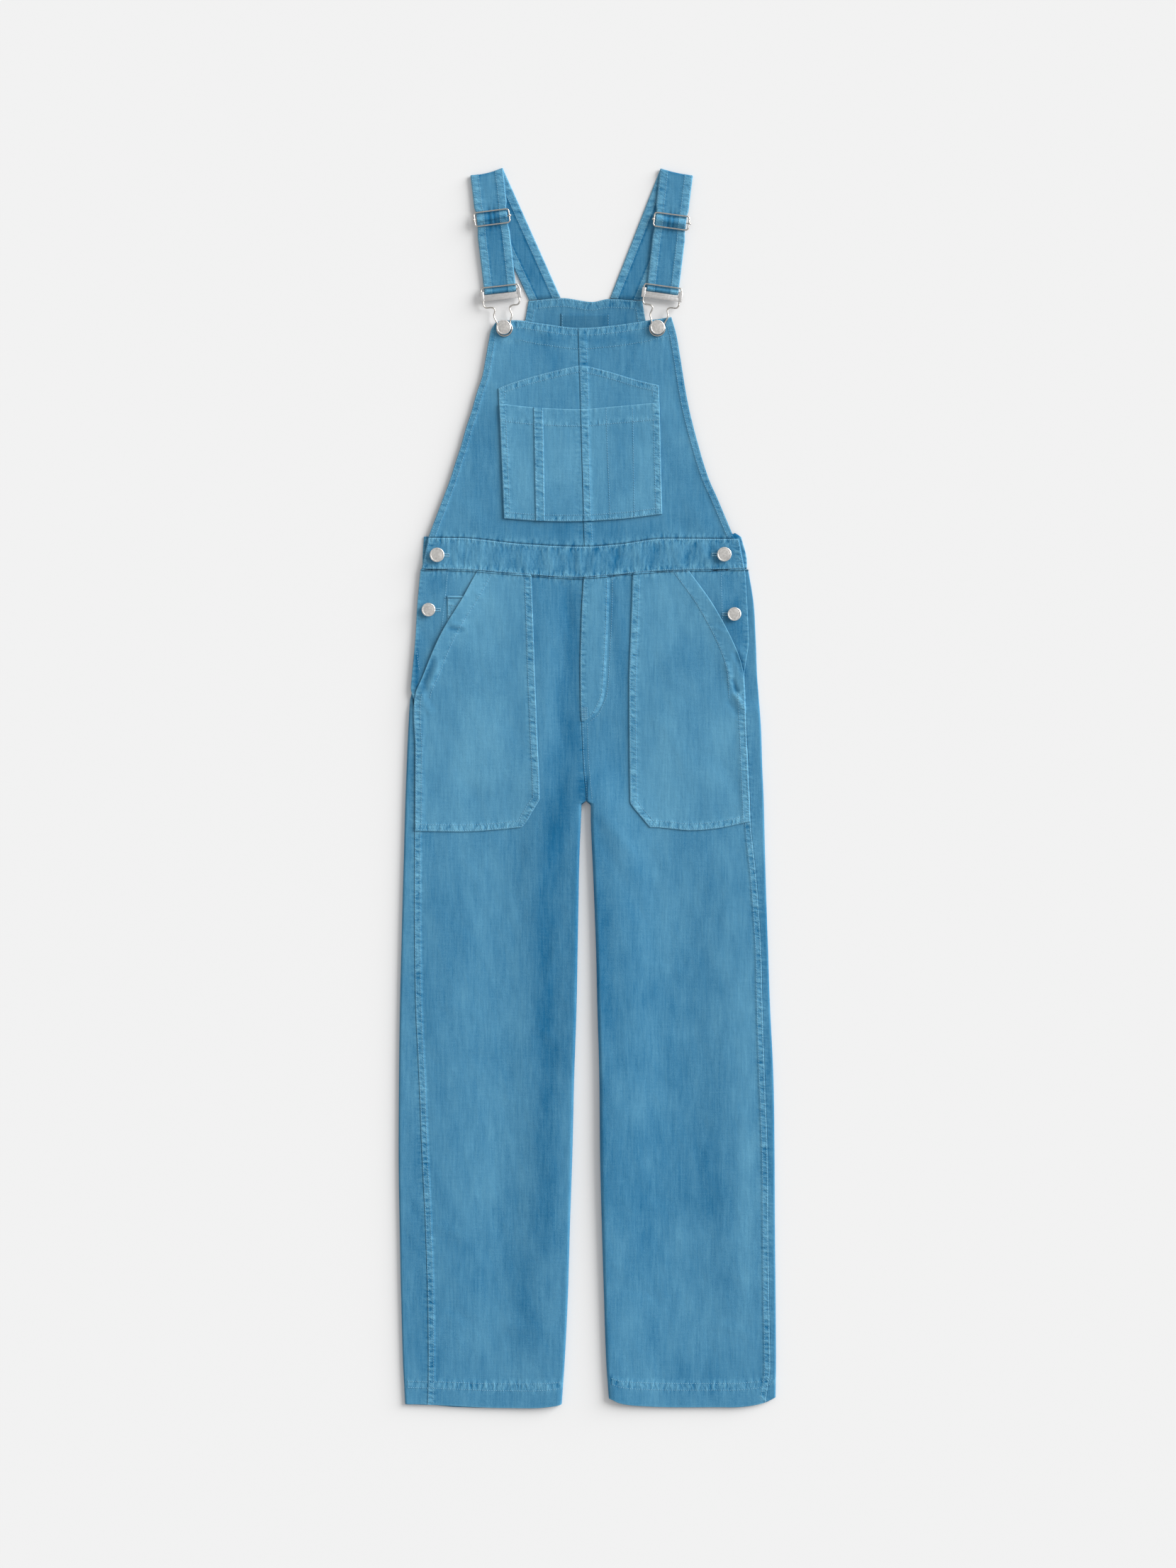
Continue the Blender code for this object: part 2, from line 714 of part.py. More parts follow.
def hip_pocket(name, hip, way):
    """Large patch pocket with a slanted mouth and a cut-off lower inner corner."""
    side = "left" if way < 0 else "right"
    heights = [hip[0].height, hip[0].height + 10, 685.0, 701.0, 745.0, 790.0, 826.0]
    heights += [841.0, 862.0, 883.0, 904.0, 925.0, 945.0, WAIST_LOW]
    rows = []
    for height in heights:
        left, right = read(hip, height, "left"), read(hip, height, "right")
        if way < 0:
            across = spread(left, right, [0.0, HIP_HEM - 0.8, HIP_HEM], 5, [0.0])
            mouth = (0, 1)
        else:
            across = spread(left, right, [0.0], 5, [0.0, HIP_HEM - 0.8, HIP_HEM])
            mouth = (len(across) - 2, len(across) - 1)
        row = []
        for k, x in enumerate(across):
            rise = 0.3 if k in mouth and height > HIP_MOUTH_LOW else 0.0
            row.append((x, leg_height(x, height), rise))
        rows.append(row)
    panel(
        name,
        rows,
        lambda x, h: lay(x, h) + GAP + FELL_RISE + mouth_gape(x, h, hip, side),
        POCKET_CLOTH,
    )


def small_hip_pieces():
    """Coin pocket under the left hip pocket's mouth, and the fly on the right front panel."""
    rows = []
    for height in (892.0, 906.0, 922.0, 938.0):
        left, right = read(COIN, height, "left"), read(COIN, height, "right")
        rows.append([(between(left, right, k / 3), height, 0.0) for k in range(4)])
    panel("coin_pocket", rows, lambda x, h: lay(x, h) + GAP, COIN_CLOTH)

    heights = [row.height for row in FLY[:-1]] + [935.0, WAIST_LOW]
    rows = []
    for height in sorted(heights):
        left, right = read(FLY, height, "left"), read(FLY, height, "right")
        xs = [between(left, right, k / 4) for k in range(5)]
        rows.append([(x, leg_height(x, height), 0.0) for x in xs])
    panel("fly", rows, lambda x, h: lay(x, h) + GAP, POCKET_CLOTH)


def flat_in_frame(frame, across, up):
    """X and height of a point given in a buckle's or slider's own tilted frame."""
    turn = math.radians(frame.tilt)
    x = frame.x + across * math.cos(turn) - up * math.sin(turn)
    return Vector((x, frame.height + across * math.sin(turn) + up * math.cos(turn)))


def in_frame(frame, across, up, z):
    """A point given in a buckle's or slider's own tilted frame."""
    return place(*flat_in_frame(frame, across, up), z)


def strap_ring(start, end, z, facing):
    """Both faces of the strip at one station between its two cut edges; facing is its unit normal."""
    face, back = [], []
    for share, rise in zip(STRAP_SHARES, STRAP_RISE):
        middle = Vector((between(start.x, end.x, share), between(start.y, end.y, share), z))
        half = facing * (STRAP_CLOTH / 2)
        extra = facing * rise
        face.append(middle + half + extra)
        back.append(middle - half - extra)
    return face, back


def strap(name, foot, fold, slider, buckle):
    """One strip: up the back, over at the shoulder, down the front through the slider, round the
    buckle's bar and back up underneath to the slider's bar."""
    rings = []

    def edges(strip):
        return Vector((strip.x0, strip.height0)), Vector((strip.x1, strip.height1))

    def add(start, end, z, angle=0.0, travel=None):
        turned = math.radians(angle)
        way = travel or Vector((0, 1))
        side = Vector((way.x, way.y, 0)) * -math.sin(turned)
        rings.append(strap_ring(start, end, z, side + Vector((0, 0, math.cos(turned)))))

    foot_a, foot_b = edges(foot)
    fold_a, fold_b = edges(fold)
    turn_a, turn_b = (flat_in_frame(buckle, s * STRAP_HALF, BUCKLE_BAR_UP) for s in (-1, 1))

    for share in (0.0, 0.25, 0.5, 0.75):
        add(foot_a.lerp(fold_a, share), foot_b.lerp(fold_b, share), BACK_RUN_Z)

    across = (fold_b - fold_a).normalized()
    up_page = Vector((-across.y, across.x))
    radius = (FRONT_RUN_Z - BACK_RUN_Z) / 2
    pivot = BACK_RUN_Z + radius
    for angle in range(0, 181, 45):
        turned = math.radians(angle)
        out = up_page * (radius * math.sin(turned))
        z = pivot - radius * math.cos(turned)
        add(fold_a + out, fold_b + out, z, angle, up_page)

    down = Vector((0, 1))
    middle_fold, middle_turn = (fold_a + fold_b) / 2, (turn_a + turn_b) / 2
    way_down = middle_turn - middle_fold
    over = (Vector((slider.x, slider.height)) - middle_fold).dot(way_down) / way_down.length_squared
    step = 1 / way_down.length
    wires = SLIDER_HALF_HEIGHT * step
    hump = SLIDER_BAR_Z + SLIDER_BAR + GAP + STRAP_CLOTH / 2 + 0.25
    dip_top = SLIDER_Z_TOP - WIRE - GAP - STRAP_CLOTH / 2 - 0.3
    dip_low = SLIDER_Z_LOW - WIRE - GAP - STRAP_CLOTH / 2 - 0.3
    low_z = BUCKLE_Z - WIRE - GAP - STRAP_CLOTH / 2 - 0.25
    stations = [
        (0.12, FRONT_RUN_Z, 1.0),
        (over - wires * 1.9, dip_top, 1.0),
        (over - wires * 1.3, dip_top, STRAP_AT_SLIDER),
        (over - wires * 0.7, dip_top, STRAP_AT_SLIDER),
        (over - wires * 0.35, hump - 1.0, STRAP_AT_SLIDER),
        (over - wires * 0.1, hump, STRAP_AT_SLIDER),
        (over + wires * 0.25, hump - 0.4, STRAP_AT_SLIDER),
        (over + wires * 0.75, dip_low + 0.15, STRAP_AT_SLIDER),
        (over + wires * 1.3, dip_low, STRAP_AT_SLIDER),
        (over + wires * 2.4, dip_low - 0.3, 1.0),
        (between(over, 1.0, 0.5), between(dip_low, low_z, 0.5), 1.0),
        (between(over, 1.0, 0.75), between(dip_low, low_z, 0.85), 1.0),
        (1.0 - 8.0 * step, low_z, 1.0),
        (1.0 - 4.2 * step, low_z, 1.0),
    ]
    for share, z, width in stations:
        start, end = fold_a.lerp(turn_a, share), fold_b.lerp(turn_b, share)
        middle = (start + end) / 2
        start, end = middle.lerp(start, width), middle.lerp(end, width)
        add(start, end, z, 180.0, down)

    across = (turn_b - turn_a).normalized()
    up_page = Vector((-across.y, across.x))
    bend = BUCKLE_BAR + GAP + STRAP_CLOTH / 2 + 0.25
    for angle in range(0, 181, 36):
        turned = math.radians(angle)
        out = up_page * (-bend * math.sin(turned))
        z = BUCKLE_BAR_Z + bend * math.cos(turned)
        add(turn_a + out, turn_b + out, z, 180.0 + angle, up_page)

    return_top = SLIDER_BAR_Z - SLIDER_BAR - GAP - STRAP_CLOTH / 2 - 0.35
    ups = ((4.5 * step, RETURN_Z), (0.35, RETURN_Z + 0.15), (0.75, RETURN_Z + 0.9), (1.0, return_top))
    end_share = over + wires * 0.2
    for up, z in ups:
        share = between(1.0, end_share, up)
        width = STRAP_AT_SLIDER if up > 0.5 else 1.0
        start, end = fold_a.lerp(turn_a, share), fold_b.lerp(turn_b, share)
        middle = (start + end) / 2
        add(middle.lerp(start, width), middle.lerp(end, width), z)

    faces = [[place(*p) for p in ring[0]] for ring in rings]
    backs = [[place(*p) for p in ring[1]] for ring in rings]
    return loft(name, faces, backs)


def round_wire(name, points, radius, cyclic=True):
    """A bent wire along points, as a closed mesh."""
    curve = bpy.data.curves.new(name, "CURVE")
    curve.dimensions = "3D"
    curve.bevel_depth = radius * MM
    curve.bevel_resolution = WIRE_RESOLUTION
    curve.use_fill_caps = True
    spline = curve.splines.new("POLY")
    spline.points.add(len(points) - 1)
    for target, point in zip(spline.points, points):
        target.co = (*point, 1.0)
    spline.use_cyclic_u = cyclic
    guide = bpy.data.objects.new(name, curve)
    bpy.context.collection.objects.link(guide)
    bpy.context.view_layer.update()
    graph = bpy.context.evaluated_depsgraph_get()
    mesh = bpy.data.meshes.new_from_object(guide.evaluated_get(graph))
    bpy.data.objects.remove(guide)
    bpy.data.curves.remove(curve)
    clean = bmesh.new()
    clean.from_mesh(mesh)
    bmesh.ops.remove_doubles(clean, verts=clean.verts, dist=1e-6)
    bmesh.ops.recalc_face_normals(clean, faces=clean.faces)
    clean.to_mesh(mesh)
    clean.free()
    return mesh


def block(frame, left, right, low, high, under, over, bevel):
    """A flat bevelled bar in a buckle's own frame."""
    mesh = bpy.data.meshes.new("block")
    build = bmesh.new()
    bmesh.ops.create_cube(build, size=1.0)
    size = Vector((right - left, high - low, over - under))
    middle = ((left + right) / 2, (low + high) / 2, (under + over) / 2)
    bmesh.ops.scale(build, vec=size, verts=build.verts)
    bmesh.ops.bevel(
        build, geom=build.edges, offset=bevel, segments=1, affect="EDGES", profile=0.5
    )
    for vertex in build.verts:
        across, up, z = (vertex.co[k] + middle[k] for k in range(3))
        vertex.co = in_frame(frame, across, up, z)
    bmesh.ops.recalc_face_normals(build, faces=build.faces)
    build.to_mesh(mesh)
    build.free()
    return mesh


def join_metal(name, meshes):
    """Unites overlapping closed meshes into one metal piece."""
    piece = add_piece(name, meshes[0], NICKEL, 0.35, 1.0)
    for k, mesh in enumerate(meshes[1:]):
        cutter = bpy.data.objects.new(f"{name}_{k}", mesh)
        bpy.context.collection.objects.link(cutter)
        cutter.hide_render = True
        cutter.display_type = "WIRE"
        union = piece.modifiers.new(f"union_{k}", "BOOLEAN")
        union.operation = "UNION"
        union.object = cutter
    return piece


def smooth_path(points, steps):
    """Points on a closed smooth curve through the given points."""
    path = []
    count = len(points)
    for i in range(count):
        before, start = points[i - 1], points[i]
        end, after = points[(i + 1) % count], points[(i + 2) % count]
        for k in range(steps):
            t = k / steps
            a = (end - before) / 2
            b = (after - start) / 2
            path.append(
                start
                + a * t
                + (3 * (end - start) - 2 * a - b) * t * t
                + (a + b - 2 * (end - start)) * t * t * t
            )
    return path


def slider(name, frame):
    """Wire frame over the strap, with a cross bar under it and a knob at each end of the bar."""
    wide, tall, corner = SLIDER_HALF_WIDTH, SLIDER_HALF_HEIGHT, SLIDER_CORNER
    points = []
    for quarter, (sx, sy) in enumerate(((1, 1), (-1, 1), (-1, -1), (1, -1))):
        for k in range(4):
            angle = math.radians(quarter * 90 + 30 * k)
            across = sx * (wide - corner) + corner * math.cos(angle)
            up = sy * (tall - corner) + corner * math.sin(angle)
            z = between(SLIDER_Z_LOW, SLIDER_Z_TOP, (up / tall + 1) / 2)
            points.append(in_frame(frame, across, up, z))
    loop = round_wire(name, points, WIRE)
    bar_ends = [in_frame(frame, s * (wide + 0.3), 0.0, SLIDER_BAR_Z) for s in (-1, 1)]
    bar = round_wire(name, bar_ends, SLIDER_BAR, cyclic=False)
    knobs = []
    for side in (-1, 1):
        mesh = bpy.data.meshes.new("knob")
        build = bmesh.new()
        bmesh.ops.create_icosphere(build, subdivisions=2, radius=SLIDER_KNOB * MM)
        middle = in_frame(frame, side * (wide + 0.7), 0.0, (SLIDER_BAR_Z + SLIDER_Z_LOW) / 2)
        bmesh.ops.translate(build, vec=middle, verts=build.verts)
        build.to_mesh(mesh)
        build.free()
        knobs.append(mesh)
    join_metal(name, [loop, bar] + knobs)


def buckle(name, frame):
    """Bent wire with the keyhole hook, the plate crimped round it and the bar in the strap's loop."""
    half = [Vector(point) for point in HOOK]
    ring = []
    for k in range(1, 9):
        angle = math.radians(55 - 290 * k / 9)
        ring.append(
            Vector((KEYHOLE_RADIUS * math.cos(angle), KEYHOLE_RADIUS * math.sin(angle) - KEYHOLE_DOWN))
        )
    right = [Vector((18.4, 15.8)), Vector((21.2, 14.6)), Vector((21.9, 11.6)), Vector((21.5, 5.0))]
    left = [Vector((-p.x, p.y)) for p in reversed(right)]
    mirrored = [Vector((-p.x, p.y)) for p in reversed(half)]
    route = [Vector((0.0, 15.8))] + right + half + ring + mirrored + left
    path = [in_frame(frame, p.x, p.y, BUCKLE_Z) for p in smooth_path(route, 2)]
    wire = round_wire(name, path, WIRE)
    inner = PLATE_HALF - EAR_WIDTH
    over, under = BUCKLE_Z + 1.25, BUCKLE_Z - 1.25
    pieces = [
        wire,
        block(frame, -PLATE_HALF, -inner, 0.0, EAR_TOP, under, over, 0.5),
        block(frame, inner, PLATE_HALF, 0.0, EAR_TOP, under, over, 0.5),
        block(frame, -inner - 0.45, inner + 0.45, 0.15, RIDGE_TOP, under + 0.5, over - 0.1, 0.3),
        block(frame, -inner - 0.2, inner + 0.2, 2.0, PLATE_TOP, under + 0.9, over - 0.8, 0.15),
    ]
    ends = [in_frame(frame, s * (inner + 1.5), BUCKLE_BAR_UP, BUCKLE_BAR_Z) for s in (-1, 1)]
    pieces.append(round_wire(name, ends, BUCKLE_BAR, cyclic=False))
    for side in (-1, 1):
        low, high = sorted((side * (inner + 0.35), side * (PLATE_HALF - 0.8)))
        span = (BUCKLE_BAR_UP - 1.6, EAR_TOP - 0.8)
        pieces.append(
            block(frame, low, high, *span, BUCKLE_BAR_Z - 1.2, BUCKLE_Z, 0.3)
        )
    join_metal(name, pieces)


def shank_button(button):
    """Turned metal button: foot, shank and a slightly domed head with a rolled rim."""
    base = lay(button.x, button.height) + button.lift + GAP
    radius = button.radius
    profile = (
        (0.0, 0.0),
        (3.0, 0.0),
        (2.6, 2.3),
        (radius - 1.0, 2.5),
        (radius, 3.4),
        (radius - 0.9, 4.4),
        (radius - 1.8, 4.3),
        (0.0, 4.6),
    )
    mesh = bpy.data.meshes.new(button.name)
    build = bmesh.new()
    points = [build.verts.new((r, 0.0, z)) for r, z in profile]
    edges = [build.edges.new(pair) for pair in zip(points, points[1:])]
    bmesh.ops.spin(
        build,
        geom=points + edges,
        cent=(0, 0, 0),
        axis=(0, 0, 1),
        angle=math.tau,
        steps=BUTTON_SEGMENTS,
        use_merge=True,
    )
    bmesh.ops.remove_doubles(build, verts=build.verts, dist=1e-4)
    bmesh.ops.recalc_face_normals(build, faces=build.faces)
    bmesh.ops.scale(build, vec=(MM, MM, MM), verts=build.verts)
    build.to_mesh(mesh)
    build.free()
    piece = add_piece(button.name, mesh, NICKEL, 0.4, 1.0)
    piece.location = place(button.x, button.height, base)
    piece.data.shade_smooth()
    piece.data.set_sharp_from_angle(angle=math.radians(40))


def main():
    for old in list(bpy.data.objects):
        bpy.data.objects.remove(old)
    front_panel("front_panel_left", LEFT_LEG, -1.0)
    front_panel("front_panel_right", RIGHT_LEG, 1.0)
    back_panel("back_panel_left", LEFT_LEG, -1.0)
    back_panel("back_panel_right", RIGHT_LEG, 1.0)
    waistbands()
    bib_half("bib_left", -1.0)
    bib_half("bib_right", 1.0)
    back_bib()
    bib_pocket()
    hip_pocket("hip_pocket_left", LEFT_HIP, -1.0)
    hip_pocket("hip_pocket_right", RIGHT_HIP, 1.0)
    small_hip_pieces()
    strap("strap_left", LEFT_STRAP_FOOT, LEFT_STRAP_FOLD, LEFT_SLIDER, LEFT_BUCKLE)
    strap("strap_right", RIGHT_STRAP_FOOT, RIGHT_STRAP_FOLD, RIGHT_SLIDER, RIGHT_BUCKLE)
    slider("slider_left", LEFT_SLIDER)
    slider("slider_right", RIGHT_SLIDER)
    buckle("buckle_left", LEFT_BUCKLE)
    buckle("buckle_right", RIGHT_BUCKLE)
    for button in BUTTONS:
        shank_button(button)


main()
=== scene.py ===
"""Dresses a pair of flat-laid bib overalls: creased twill sheets, stitching, metal fittings and a studio.

X runs across the garment, Y from the hems to the shoulder folds and Z up from the floor. The tables
below hold millimetres: x from the middle and height above the lowest point of the hems.
"""

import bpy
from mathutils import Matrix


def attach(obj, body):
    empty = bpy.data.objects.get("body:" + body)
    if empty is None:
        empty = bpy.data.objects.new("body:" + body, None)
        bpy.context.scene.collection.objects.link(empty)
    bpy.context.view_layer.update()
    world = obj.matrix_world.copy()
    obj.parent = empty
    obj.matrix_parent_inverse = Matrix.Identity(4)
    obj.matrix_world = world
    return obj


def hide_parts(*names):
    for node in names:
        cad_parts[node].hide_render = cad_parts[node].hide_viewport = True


bl_info = {
    "name": "Flat Bib Overalls",
    "version": (1, 0, 0),
    "blender": (4, 5, 0),
    "location": "View3D > Sidebar > Overalls",
    "description": "Cloth, sewing and metal fittings of a pair of bib overalls laid flat",
    "category": "Object",
}

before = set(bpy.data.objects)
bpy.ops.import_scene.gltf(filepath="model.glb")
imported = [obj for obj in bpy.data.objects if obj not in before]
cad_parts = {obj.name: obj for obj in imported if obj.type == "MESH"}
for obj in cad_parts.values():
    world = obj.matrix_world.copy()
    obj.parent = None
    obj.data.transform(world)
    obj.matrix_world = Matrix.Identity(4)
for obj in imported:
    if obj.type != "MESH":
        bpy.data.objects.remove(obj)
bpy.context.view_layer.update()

import math
from collections import namedtuple
from itertools import chain

import bmesh
import bpy
import numpy as np
from bpy.props import FloatProperty, FloatVectorProperty, PointerProperty
from mathutils import Matrix, Vector

MM = 0.001
LENGTH = 1434.0
GAP = 0.3
SEAM = GAP / 2

HEM_FOLD = 30.0
CROTCH = 701.0
PLACKET_FOOT = 826.0
BACK_PLACKET_FOOT = 823.0
WAIST_LOW = 965.0
WAIST_HIGH = 1004.5
BIB_TOP = 1257.0

HEM_RISE = 0.5
BACK_HEM_DROP = 1.8
FELL_RISE = 0.45
FELL_WIDTH = 7.6
BIB_HEM_WIDTH = 8.4
BAND_RISE = 1.0
BACK_BAND_CLOTH = 2.0
BACK_BIB_CLOTH = 1.4
POCKET_CLOTH = 0.9
PANEL_WALL = 1.0
BAND_WALL = 2.3
BACK_BAND_WALL = 1.95
BACK_BIB_WALL = 1.35
BACK_BIB_TOP = 1283
LABEL_RISE = 0.8
THREAD_RISE = 0.1

# How far each layer of the pockets lies above the plain lay
LAYER_GAP = 0.15
LAP_GAP = 0.1
UNDER_STEP = LAYER_GAP + POCKET_CLOTH
OVER_STEP = UNDER_STEP + LAP_GAP + POCKET_CLOTH
LAP_STEP = OVER_STEP + LAP_GAP + POCKET_CLOTH
COIN_STEP = LAP_GAP + 0.7
POCKET_TALL = 132

STRAP_WIDTH = 38.0
STRAP_CLOTH = 1.5
WORN = 0.30

# The thick seams between the legs hold their inner edges up
INNER_RISE = {"left": 3.0, "right": 4.0}
INNER_REACH = 80.0

WAYS = {"left": -1.0, "right": 1.0}


def table(kind, *rows):
    return tuple(kind(*row) for row in rows)


Level = namedtuple("Level", "height z")
LEVELS = table(Level, (0, 4.5), (300, 4.7), (700, 4.9), (1005, 4.8), (1070, 4.4), (1260, 3.9))

# Soft folds of the laid cloth, from one end to the other: half width and rise, troughs below zero
Fold = namedtuple("Fold", "x0 height0 x1 height1 width rise")
FOLDS = table(
    Fold,
    (-23, 950, -33, 700, 11, -1.1), (-33, 700, -46, 380, 13, -0.9), (-46, 900, -62, 560, 15, 0.8),
    (-154, 620, -148, 80, 30, 0.9), (-105, 610, -92, 120, 24, -0.7), (-50, 330, -62, 60, 18, 0.6),
    (8, 690, 33, 400, 12, -0.9), (44, 660, 62, 240, 22, 0.9), (108, 600, 132, 90, 24, -0.8),
    (164, 640, 172, 100, 22, 0.7), (30, 800, 44, 700, 12, -0.6), (-8, 735, -62, 600, 10, 0.5),
    (0, 735, 60, 610, 10, 0.5), (-130, 880, -120, 720, 26, 0.6), (110, 880, 120, 720, 26, 0.6),
    (-78, 1215, -112, 1120, 16, 0.5), (66, 1215, 104, 1120, 16, 0.5), (-40, 1225, 30, 1225, 12, -0.4),
)

# Fine creases on the legs, the hips and the bib
CREASES = table(
    Fold,
    (-14, 690, -70, 640, 5, 0.45), (-16, 660, -80, 560, 6, -0.4), (12, 690, 52, 640, 5, 0.45),
    (14, 660, 62, 566, 6, -0.4), (-30, 560, -52, 470, 5, 0.35), (-150, 560, -120, 540, 4, -0.25),
    (-176, 470, -120, 452, 5, 0.25), (-170, 395, -128, 410, 4, -0.25), (-60, 440, -30, 420, 4, 0.3),
    (-140, 300, -96, 318, 5, -0.25), (-176, 212, -138, 196, 5, 0.3), (-120, 178, -70, 190, 4, -0.25),
    (-92, 96, -40, 88, 4, 0.3), (-160, 118, -130, 96, 4, -0.3), (26, 360, 62, 380, 5, 0.3),
    (96, 430, 150, 452, 5, -0.25), (70, 512, 118, 500, 4, 0.25), (140, 330, 180, 344, 5, 0.3),
    (60, 250, 104, 236, 5, -0.3), (122, 180, 176, 196, 4, 0.25), (44, 140, 84, 126, 4, -0.3),
    (150, 96, 192, 84, 4, 0.3), (-166, 905, -150, 900, 3, 0.5), (-196, 905, -180, 876, 4, -0.35),
    (-176, 958, -168, 890, 4, 0.3), (150, 955, 160, 890, 4, 0.3), (166, 876, 180, 850, 3.5, -0.6),
    (172, 880, 183, 862, 3, 0.5), (-24, 958, -20, 900, 4, -0.5), (30, 960, 40, 880, 5, 0.5),
    (20, 958, 34, 930, 3, -0.4), (-60, 964, -58, 930, 4, 0.3), (-80, 1246, -58, 1236, 4, -0.4),
    (-52, 1248, -36, 1236, 4, 0.4), (64, 1248, 44, 1236, 4, -0.35), (-96, 1240, -118, 1180, 6, 0.3),
    (84, 1238, 104, 1170, 6, 0.3), (-150, 1050, -120, 1016, 7, 0.35), (120, 1044, 140, 1014, 6, 0.4),
    (96, 1030, 118, 1008, 5, -0.4), (-60, 1018, -30, 1012, 4, -0.3),
)

# Creases of the hip pockets, most of them at the lower ends of their mouths
POCKET_CREASES = table(
    Fold,
    (-158, 906, -142, 903, 1.8, 0.7), (-160, 901, -144, 898, 1.8, -0.6), (-179, 866, -191, 836, 2.6, -1.1),
    (-171, 862, -183, 832, 2.6, 0.9), (-192, 826, -182, 802, 3.0, 0.6), (-132, 944, -122, 936, 2.0, 0.4),
    (170, 874, 181, 846, 2.6, -0.9), (160, 862, 168, 832, 2.6, 0.9), (167, 842, 173, 826, 1.8, -1.1),
    (168, 827, 182, 808, 2.2, 1.1), (162, 818, 176, 798, 2.6, -0.6), (146, 902, 160, 896, 2.0, 0.4),
    (-110, 790, -80, 730, 9, 0.4), (-150, 740, -120, 700, 9, -0.4), (80, 800, 120, 740, 9, 0.4),
    (150, 760, 176, 700, 8, -0.4),
)

# Wrinkles of the front waistband
BAND_CREASES = table(
    Fold,
    (-150, 1000, -145, 980, 3.5, 0.4), (-140, 1000, -146, 972, 3.0, -0.35), (-122, 997, -128, 974, 3.5, 0.45),
    (-92, 996, -88, 970, 3.5, -0.4), (-77, 996, -70, 968, 3.5, 0.45), (-56, 994, -60, 968, 3.0, -0.3),
    (-46, 994, -40, 966, 3.5, 0.45), (-33, 988, -20, 984, 2.5, 0.5), (-17, 994, -15, 966, 2.2, -0.7),
    (-11, 994, -9, 966, 2.6, 0.5), (14, 994, 4, 966, 3.0, 0.5), (35, 995, 32, 968, 3.0, -0.45),
    (56, 996, 66, 970, 3.5, 0.5), (82, 998, 74, 970, 3.5, -0.45), (100, 999, 108, 972, 3.5, 0.5),
    (122, 999, 111, 974, 3.0, -0.6), (131, 999, 141, 972, 3.0, 0.6), (144, 996, 138, 984, 2.5, -0.5),
    (22, 986, 52, 982, 3.5, -0.3), (-110, 984, -86, 980, 3.5, 0.3),
)

Leg = namedtuple("Leg", "height outer seam inner")
LEFT_LEG = table(
    Leg,
    (0, -210.5, -185.0, -29.5), (45, -212.8, -184.1, -26.6), (127, -215.2, -184.9, -22.5),
    (209, -216.9, -187.4, -20.1), (294, -218.1, -191.5, -17.2), (380, -217.7, -194.8, -15.2),
    (467, -216.5, -198.8, -12.3), (553, -214.4, -200.0, -10.7), (640, -212.0, -200.0, -9.0),
    (700, -210.3, -199.8, -6.6), (783, -207.0, -199.4, -6.6), (824, -204.6, -199.2, -8.2),
    (845, -202.9, -202.9, -8.6), (886, -199.0, -199.0, -8.2), (927, -196.4, -196.4, -7.0),
    (965, -192.7, -192.7, -4.9),
)
RIGHT_LEG = table(
    Leg,
    (0, 217.6, 206.4, 24.8), (46, 218.1, 211.6, 22.1), (127, 217.7, 210.3, 19.3), (209, 216.9, 209.5, 16.8),
    (291, 216.5, 208.7, 14.8), (380, 215.2, 205.4, 13.9), (467, 211.1, 202.6, 11.5), (525, 209.1, 201.3, 10.2),
    (611, 206.2, 195.6, 7.0), (676, 204.6, 189.0, 4.1), (700, 204.0, 188.2, 3.6), (745, 202.1, 186.1, -4.1),
    (783, 200.9, 184.1, -6.6), (824, 198.0, 182.9, -8.2), (845, 196.4, 181.8, -8.6), (886, 194.8, 186.5, -8.2),
    (927, 192.3, 184.9, -7.0), (965, 186.0, 182.4, -4.9),
)

Edge = namedtuple("Edge", "x height")
HEM_ENDS = table(
    Edge,
    (-218, 4.6), (-185, 3.8), (-97, 0.0), (-36, 2.4), (-28, 5.0), (24, 11.0), (37, 5.7), (68, 1.9), (150, 0.8),
    (179, 1.2), (205, 6.2), (218, 12.5),
)
BAND_LOW = table(
    Edge,
    (-192, 969.5), (-136, 968.1), (-79, 963.5), (-14, 959.6), (34, 962.7), (77, 966.6), (182, 969.5),
)
BAND_HIGH = table(
    Edge,
    (-184, 1005.7), (-136, 1004.8), (-79, 998.8), (-5, 995.5), (34, 997.9), (91, 1004.8), (176, 1004.3),
)
BIB_UPPER = table(
    Edge,
    (-110, 1255.0), (-83, 1257.1), (-53, 1253.3), (-8, 1248.2), (27, 1250.7), (72, 1257.1), (98, 1260.8),
)

Span = namedtuple("Span", "height left right")
BAND_ENDS = table(Span, (960, -192.4, 182.6), (1006, -183.3, 175.1))
BACK_BAND_ENDS = table(Span, (960, -190.4, 184.6), (982, -190.4, 183.9), (1006, -189.0, 178.0))
BIB_SIDES = table(
    Span,
    (995, -186.0, 174.5), (1008, -182.4, 168.5), (1029, -174.7, 159.5), (1050, -166.9, 150.5), (1070, -159.5, 141.4),
    (1091, -152.9, 134.1), (1111, -146.4, 128.3), (1132, -140.6, 122.6), (1152, -134.1, 117.7), (1173, -128.3, 113.6),
    (1193, -121.8, 110.3), (1214, -117.7, 107.0), (1237, -113.6, 102.9), (1249, -110.8, 99.6), (1257, -105.5, 97.2),
    (1261, -104.5, 96.6),
)
BIB_SEAM = table(Edge, (995, -3.0), (1026, -4.5), (1155, -8.0), (1261, -10.9))
BACK_BIB_SIDES = table(
    Span,
    (1006, -168.0, 158.0), (1060, -134.0, 126.0), (1120, -106.0, 99.0), (1180, -88.0, 83.0), (1230, -78.0, 73.0),
    (1258, -72.6, 67.6), (1283, -68.1, 63.5),
)
BACK_BIB_UPPER = table(Edge, (-68, 1279.8), (-29, 1283.0), (6, 1278.6), (25, 1282.0), (64, 1279.8))
